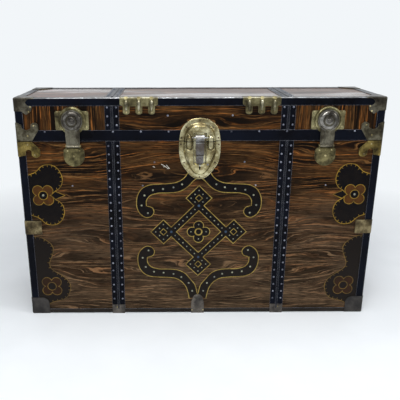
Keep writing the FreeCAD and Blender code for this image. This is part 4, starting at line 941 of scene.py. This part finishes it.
class TRUNK_OT_lock(bpy.types.Operator):
    """Models both lock plates: an egg-shaped flange with a domed middle, bosses and hasp channel"""
    bl_idname = "trunk.lock"
    bl_label = "Lock plates"

    def execute(self, context):
        half = smooth_line(LOCK_RIM, 200)
        rim = np.concatenate([half[::-1], (half * (-1, 1))[1:]])
        rim_bearing = np.unwrap(np.arctan2(rim[:, 1], rim[:, 0]))
        rim_bearing = rim_bearing - TAU * np.round((rim_bearing[0] + np.pi / 2) / TAU)
        share = np.linspace(0, 1, 96)[:, None]
        for name, body, first in (("upper", "lid", 0), ("lower", "case", -np.pi)):
            turn = np.linspace(first, first + np.pi, 181)
            look = (turn + np.pi / 2) % TAU - np.pi / 2
            reach = np.interp(look, rim_bearing, np.hypot(*rim.T))
            across = share * reach * np.cos(turn)
            up = share * reach * np.sin(turn)
            bearing = np.where(look > np.pi, look - TAU, look)
            height = lock_surface(across, up, bearing, reach * (1 - share) - FLANGE_WIDTH)
            seam = 0.5 if body == "lid" else -0.5
            up = PARTING + (up + seam * hill(up, 3)) * MM
            top = front(across * MM, up, height * MM)
            base = front(across * MM, up, 0)
            sides = ((top[-1], base[-1]), (top[:, 0], base[:, 0]), (top[:, -1], base[:, -1]))
            grids = [(top, False), (base, False)] + [(np.stack(pair), False) for pair in sides]
            dome = put("lock_dome_" + name, grids, body, "bright_brass")
            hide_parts("lock_%s_plate" % name)
        for body, spots in (("lid", [(0, 51.5), (33, 34), (-33, 34), (46, 8), (-46, 8)]),
                            ("case", [(47.5, -9), (-47.5, -9), (39, -55), (-39, -55), (0, -92.5)])):
            nails = knobs(front, at_mouth(spots), 2.3 * MM, head(1.2 * MM, 0.3 * MM, 2.8 * MM))
            put("lock_nails_" + body, [nails], body, "iron_nail")
        pins = at_mouth([(0, -60), (20, -58)])
        put("lock_pins", [knobs(front, pins, 2.6 * MM, head(1.5 * MM, 3 * MM, 12.9 * MM), 16)], "case",
            "bright_steel")
        # The keyhole is painted shade: a dark plate on the lock where the hole is
        slot_line = at_mouth([(-1.4, -63), (1.4, -63), (1.4, -71), (-1.4, -71)])
        deep = flat_steps(13.3 * MM, 9 * MM)
        put("lock_keyhole", [knobs(front, at_mouth([(0, -66)]), 2.6 * MM, deep, 20),
                             lens(front, slot_line, slot_line.mean(axis=0), deep)], "case",
            "keyhole_dark")
        return {"FINISHED"}


# Lid edge, latches and their nails

CLAMP_FINGERS = (119.5, 150.5, 181.5)
# The section of a finger's rib: share of its outline and height in mm
RIB = [(0, 7.4), (0.3, 7.2), (0.6, 6.3), (0.85, 4.7), (1, 2.4), (1, 1), (0, 1)]


class TRUNK_OT_edge_trim(bpy.types.Operator):
    """Runs a bright bead round the lid's top edge and swells a rib along each finger of its clamps

    The bead's bare steel is partly worn paint and partly a painted highlight, and the ribs'
    paler pewter paints their highlight.
    """
    bl_idname = "trunk.edge_trim"
    bl_label = "Lid edge bead and clamp ribs"

    def execute(self, context):
        low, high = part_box("lid_top_binding")
        radius = 1.15 * MM
        inset = 0.75 * MM
        corner = 2 * MM
        right_x, left_x = high.x - inset, low.x + inset
        far_y, near_y = high.y - inset, low.y + inset
        corners = ((right_x, far_y), (left_x, far_y), (left_x, near_y), (right_x, near_y))
        path = []
        for count, spot in enumerate(corners):
            angle = np.linspace(0, np.pi / 2, 5) + count * np.pi / 2
            arc = corner * np.stack([np.cos(angle), np.sin(angle)], axis=-1)
            path.append(spot - corner * np.sign(spot) + arc)
        path = np.concatenate(path)
        aside = left_of(unit(np.roll(path, -1, axis=0) - np.roll(path, 1, axis=0)))
        turn = ring(10)
        flat = path[:, None] - radius * np.cos(turn)[:, None] * aside[:, None]
        height = np.broadcast_to(high.z - inset + radius * np.sin(turn), flat.shape[:2])
        tube = np.concatenate([flat, height[..., None]], axis=-1)
        # Bright bare steel: worn paint, and a painted highlight along the lid's top edge
        put("lid_edge_bead", [(np.concatenate([tube, tube[:1]]), True)], "lid", "bright_steel")
        wide, tall = 4.4 * MM, 15 * MM
        rib = circle_line(1) * (wide, tall)
        rib[:, 0] *= 1 + 0.25 * rib[:, 1] / tall
        hubs = [np.array([side * x * MM, PARTING + 88 * MM]) for side in (-1, 1) for x in CLAMP_FINGERS]
        ribs = [lens(front, rib + hub, hub, np.array(RIB) * (1, MM)) for hub in hubs]
        # The ribs' paler pewter is a painted highlight
        put("edge_clamp_ribs", ribs, "lid", "pale_pewter")
        return {"FINISHED"}


# Sections of the latch dome, by radius and height in mm, and of the shield, by share and height
LEVER_DOME = [(0, 16.9), (1.6, 16.8), (2.9, 16.3), (3.6, 15.2), (4.2, 14.9), (5.5, 15.3), (8, 15.1),
              (10.5, 14.3), (12, 13.2), (12.8, 11.6), (14.0, 11.5), (14.9, 12.6), (17, 12.6), (20, 11.7),
              (22.2, 10.3), (23, 8.6), (24.2, 8.5), (24.8, 9.2), (25.8, 9.0), (26.3, 8.2), (26.3, 6.2),
              (0, 6.2)]
SHIELD = [(0, 5.6), (0.25, 5.4), (0.5, 4.8), (0.72, 3.9), (0.88, 3.0), (0.96, 2.5), (1, 2.1), (1, 0), (0, 0)]


class TRUNK_OT_latches(bpy.types.Operator):
    """Domes the latch levers in rounded steps, rings their strikes and fits swelling shields under them"""
    bl_idname = "trunk.latches"
    bl_label = "Latches"

    def execute(self, context):
        dome_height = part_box("latch_lever_right")[1].z - 26 * MM
        shield_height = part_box("latch_keepers")[0].z + 26 * MM
        bearing = np.linspace(radians(-48), radians(228), 80)[:, None]
        rounded_end = np.sqrt(np.clip(1 - np.linspace(-1, 1, 80)**40, 0, 1))[:, None]
        thick = 2.5 * MM * rounded_end
        reach = 31 * MM + thick * np.cos(ring(12))
        outline = circle_line(26.2 * MM, 64)
        outline[:, 1] = np.minimum(outline[:, 1], 20.6 * MM)
        collars = []
        shields = []
        for name, side in (("left", -1), ("right", 1)):
            put("lever_dome_" + name, [knobs(front, [(side * LATCH, dome_height)], MM,
                                             np.array(LEVER_DOME) * (1, MM), 72)],
                name + "_lever", "latch_nickel")
            collar = front(side * LATCH + reach * np.cos(bearing), dome_height + reach * np.sin(bearing),
                           6.2 * MM + thick * np.sin(ring(12)))
            collars.append((collar, True))
            hub = np.array([side * LATCH, shield_height])
            shields.append(lens(front, outline + hub, hub, np.array(SHIELD) * (1, MM)))
        put("strike_collars", collars, "lid", "strike_brass")
        put("latch_shields", shields, "case", "shield_brass")
        return {"FINISHED"}


def corner_spots(points):
    """Nail places for a piece that is bent round all four corners: on the front, back and ends."""
    spots = np.array(points) * MM
    wide = np.concatenate([spots, spots * (-1, 1)])
    inset = SIDE - spots[:, 0]
    deep = np.concatenate([np.stack([near, spots[:, 1]], axis=-1) for near in (FRONT + inset, BACK - inset)])
    return ((front, wide), (back, wide), (left, deep), (right, deep))


class TRUNK_OT_hardware_nails(bpy.types.Operator):
    """Drives the nails that hold the caps, clamps, strikes and shields"""
    bl_idname = "trunk.hardware_nails"
    bl_label = "Nails of the hardware"

    def execute(self, context):
        on_sheet = head(1.2 * MM, 0.4 * MM, 2.4 * MM)
        for name, body, points in (("cap_nails", "lid", [(416, 565), (421, 553)]),
                                   ("lid_clamp_nails", "lid", [(412, 519), (428, 494)]),
                                   ("case_clamp_nails", "case", [(414, 446), (430, 472)])):
            put(name, [knobs(face, spots, 2.3 * MM, on_sheet) for face, spots in corner_spots(points)],
                body, "brass_nail")

        def at_latches(across, up):
            return [(side * LATCH + x * MM, PARTING + z * MM) for side in (-1, 1) for x in across for z in up]

        fingers = [(side * x * MM, PARTING + 70.5 * MM) for side in (-1, 1) for x in CLAMP_FINGERS]
        put("lid_hardware_nails", [knobs(front, at_latches((-35, 35), (34.5, 71.5)), 2.4 * MM,
                                         head(1.2 * MM, 0.4 * MM, 2.7 * MM)),
                                   knobs(front, fingers, 2.3 * MM, head(1.2 * MM, 0.4 * MM, 3.4 * MM))],
            "lid", "brass_nail")
        feet = [(side * 222 * MM, 19 * MM) for side in (-1, 1)]
        bell = [(15 * MM, 9 * MM), (-15 * MM, 9 * MM)]
        put("case_hardware_nails", [knobs(front, at_latches((-15, 15), (-24,)), 2.2 * MM,
                                          head(1.1 * MM, 0.8 * MM, 3.2 * MM)),
                                    knobs(front, at_latches((0,), (-37.5,)), 2.6 * MM,
                                          head(1.3 * MM, 1.2 * MM, 5.4 * MM)),
                                    knobs(front, feet + bell, 2.2 * MM, on_sheet),
                                    knobs(back, feet, 2.2 * MM, on_sheet)],
            "case", "brass_nail")
        return {"FINISHED"}


# Handles

# Length of each flat end of a strap, half its thickness, and the radius of a stitch
STRAP_END = 66 * MM
STRAP_THICK = 2.5 * MM
THREAD = 0.55 * MM


def bowed(along, bow):
    """How far a strap stands off the end board: nothing at its ends, most in the middle."""
    rise = np.clip((STRAP_END - np.abs(along)) / STRAP_END, 0, 1)
    return bow * (3 * rise**2 - 2 * rise**3)**0.75


class TRUNK_OT_handles(bpy.types.Operator):
    """Replaces the plain straps of the ends with stitched leather ones"""
    bl_idname = "trunk.handles"
    bl_label = "Leather handles"

    def execute(self, context):
        for name, face in (("left", left), ("right", right)):
            low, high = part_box("handle_strap_" + name)
            middle_y, middle_z = 0.5 * (low.y + high.y), 0.5 * (low.z + high.z)
            reach, half_width = 0.5 * (high.y - low.y), 0.5 * (high.z - low.z)
            bow = max(abs(low.x), abs(high.x)) - SIDE - 2 * STRAP_THICK
            along = np.linspace(-reach, reach, 121)[:, None]
            around = ring(28)
            section_up = np.sign(np.sin(around)) * np.abs(np.sin(around))**0.45
            section_out = np.sign(np.cos(around)) * np.abs(np.cos(around))**0.8
            to_end = np.clip((reach - np.abs(along)) / (half_width * 0.9), 0, 1)
            narrow = np.sqrt(1 - (1 - to_end)**2)
            thick = STRAP_THICK * np.where(narrow < 0.05, 0, 1)
            strap = put("leather_strap_" + name,
                        [(face(middle_y + along, middle_z + half_width * narrow * section_up,
                               bowed(along, bow) + STRAP_THICK + thick * section_out), True)],
                        "case", "leather")
            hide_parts("handle_strap_" + name)
            at = np.arange(-reach + 14 * MM, reach - 13 * MM, 5 * MM)[:, None, None]
            share = np.linspace(-1, 1, 5)[:, None]
            size = THREAD * np.sqrt(np.maximum(1 - share**2, 0))
            turn = ring(6)
            out = bowed(at, bow) + 2 * STRAP_THICK - THREAD + size * np.sin(turn)
            stitches = []
            for edge in (-1, 1):
                up = middle_z + edge * (half_width - 3.2 * MM) + size * np.cos(turn)
                stitches.append((face(middle_y + at + 1.7 * MM * share, up, out), True))
            put("strap_stitches_" + name, stitches, "case", "thread")
        return {"FINISHED"}


# Stage

# Each lamp's place, its turn in degrees, its width and height in metres and its power in watts
LAMPS = {
    "front_softbox": ((-0.6, -2.2, 2.3), (48, 0, -15), 1.1, 1.1, 30),
    "right_softbox": ((2.4, -1.2, 1.8), (58, 0, 63), 1.0, 1.0, 19),
    "strip_lamp": ((0.15, -1.9, 2.3), (43, 0, 3), 1.5, 0.22, 16),
    "top_softbox": ((0, -0.4, 2.8), (0, 0, 0), 2.1, 2.1, 35),
}
# The camera as fitted to the photograph: the picture's side, the focal length and the spot on the
# camera's axis in pixels, and the turn in degrees
PHOTO = 400
FOCAL = 560.9
AIM = (171.8, 228.0)
CAMERA_TURN = (90 - 19.55, 0.12, -0.36)


class TRUNK_OT_stage(bpy.types.Operator):
    """Lays the pale floor, hangs the soft lights and sets up the camera"""
    bl_idname = "trunk.stage"
    bl_label = "Floor, light and camera"

    def execute(self, context):
        scene = context.scene
        choice = scene.trunk_stage
        self.lay_floor(scene, choice)
        self.light_sky(scene, choice)
        for name, (place, aim, wide, tall, power) in LAMPS.items():
            lamp = bpy.data.lights.new(name, "AREA")
            lamp.shape = "RECTANGLE"
            lamp.size = wide
            lamp.size_y = tall
            lamp.energy = power
            hung = bpy.data.objects.new(name, lamp)
            hung.location = place
            hung.rotation_euler = [radians(angle) for angle in aim]
            scene.collection.objects.link(hung)
        optics = bpy.data.cameras.new("camera")
        optics.sensor_width = 36
        optics.lens = optics.sensor_width * FOCAL / PHOTO
        optics.shift_x = (PHOTO / 2 - AIM[0]) / PHOTO
        optics.shift_y = (AIM[1] - PHOTO / 2) / PHOTO
        camera = bpy.data.objects.new("camera", optics)
        camera.location = choice.camera_place
        camera.rotation_euler = [radians(angle) for angle in CAMERA_TURN]
        scene.collection.objects.link(camera)
        scene.camera = camera
        scene.view_settings.view_transform = "Standard"
        return {"FINISHED"}

    def lay_floor(self, scene, choice):
        """A pale floor that keeps the shadow near the trunk and fades into the backdrop farther off."""
        made = Finish("pale_floor")
        tone = made.mix(made.levels(made.noise(6.0, 3.0), 0.3, 0.7), linear(240, 244, 247),
                        linear(244, 248, 251))
        made.set(Base_Color=tone, Roughness=0.9, Specular_IOR_Level=0.1)
        far = made.node("ShaderNodeVectorMath", {0: made.place}, operation="LENGTH").outputs["Value"]
        seen = made.node("ShaderNodeLightPath").outputs["Is Camera Ray"]
        distant = made.node("ShaderNodeEmission", {"Color": (*choice.backdrop, 1)}).outputs[0]
        faded = made.node("ShaderNodeMixShader", {0: made.times(made.levels(far, 0.75, 1.5), seen),
                                                  1: made.shader.outputs[0], 2: distant})
        made.tree.links.new(faded.outputs[0], made.tree.nodes["Material Output"].inputs["Surface"])
        span = 30.0
        mesh = bpy.data.meshes.new("floor")
        mesh.from_pydata([(-span, -span, 0), (span, -span, 0), (span, span, 0), (-span, span, 0)], [],
                         [(0, 1, 2, 3)])
        mesh.materials.append(made.material)
        floor = bpy.data.objects.new("floor", mesh)
        scene.collection.objects.link(floor)

    def light_sky(self, scene, choice):
        """Daylight that is as pale as the backdrop near the horizon and dim overhead."""
        world = bpy.data.worlds.new("daylight")
        scene.world = world
        world.use_nodes = True
        tree = world.node_tree
        tree.nodes.clear()
        way = add_node(tree, "ShaderNodeTexCoord", {}).outputs["Generated"]
        height = add_node(tree, "ShaderNodeSeparateXYZ", {0: way}).outputs["Z"]
        fade = add_node(tree, "ShaderNodeMapRange", {"Value": height, "From Min": 0.16, "From Max": 0.5})
        sky = add_node(tree, "ShaderNodeMix", {0: fade.outputs[0], 6: (*choice.backdrop, 1),
                                               7: (*choice.ceiling, 1)}, data_type="RGBA")
        shown = add_node(tree, "ShaderNodeBackground", {"Color": sky.outputs[2]})
        add_node(tree, "ShaderNodeOutputWorld", {"Surface": shown.outputs[0]})


# Add-on

class TRUNK_PT_panel(bpy.types.Panel):
    """Lists the pieces of the trunk in the order in which they are made"""
    bl_idname = "TRUNK_PT_panel"
    bl_label = "Travel trunk"
    bl_space_type = "VIEW_3D"
    bl_region_type = "UI"
    bl_category = "Trunk"

    def draw(self, context):
        for piece in PIECES:
            self.layout.operator(piece.bl_idname)
        for group in GROUPS:
            settings = getattr(context.scene, group)
            for name in settings.bl_rna.properties.keys():
                if name not in ("rna_type", "name"):
                    self.layout.prop(settings, name)


PIECES = (TRUNK_OT_boards, TRUNK_OT_fittings, TRUNK_OT_nails, TRUNK_OT_ribbons, TRUNK_OT_lattice,
          TRUNK_OT_flares, TRUNK_OT_lock, TRUNK_OT_edge_trim, TRUNK_OT_latches, TRUNK_OT_hardware_nails,
          TRUNK_OT_handles, TRUNK_OT_stage)
GROUPS = {"trunk_nails": TrunkNails, "trunk_ornament": TrunkOrnament, "trunk_stage": TrunkStage}


def register():
    for group in GROUPS.values():
        bpy.utils.register_class(group)
    for piece in PIECES + (TRUNK_PT_panel,):
        bpy.utils.register_class(piece)
    for name, group in GROUPS.items():
        setattr(bpy.types.Scene, name, bpy.props.PointerProperty(type=group))


def unregister():
    for name in GROUPS:
        delattr(bpy.types.Scene, name)
    for piece in (TRUNK_PT_panel,) + PIECES[::-1]:
        bpy.utils.unregister_class(piece)
    for group in GROUPS.values():
        bpy.utils.unregister_class(group)


def main():
    register()
    for piece in PIECES:
        group, name = piece.bl_idname.split(".")
        getattr(getattr(bpy.ops, group), name)()


if __name__ == "__main__":
    main()
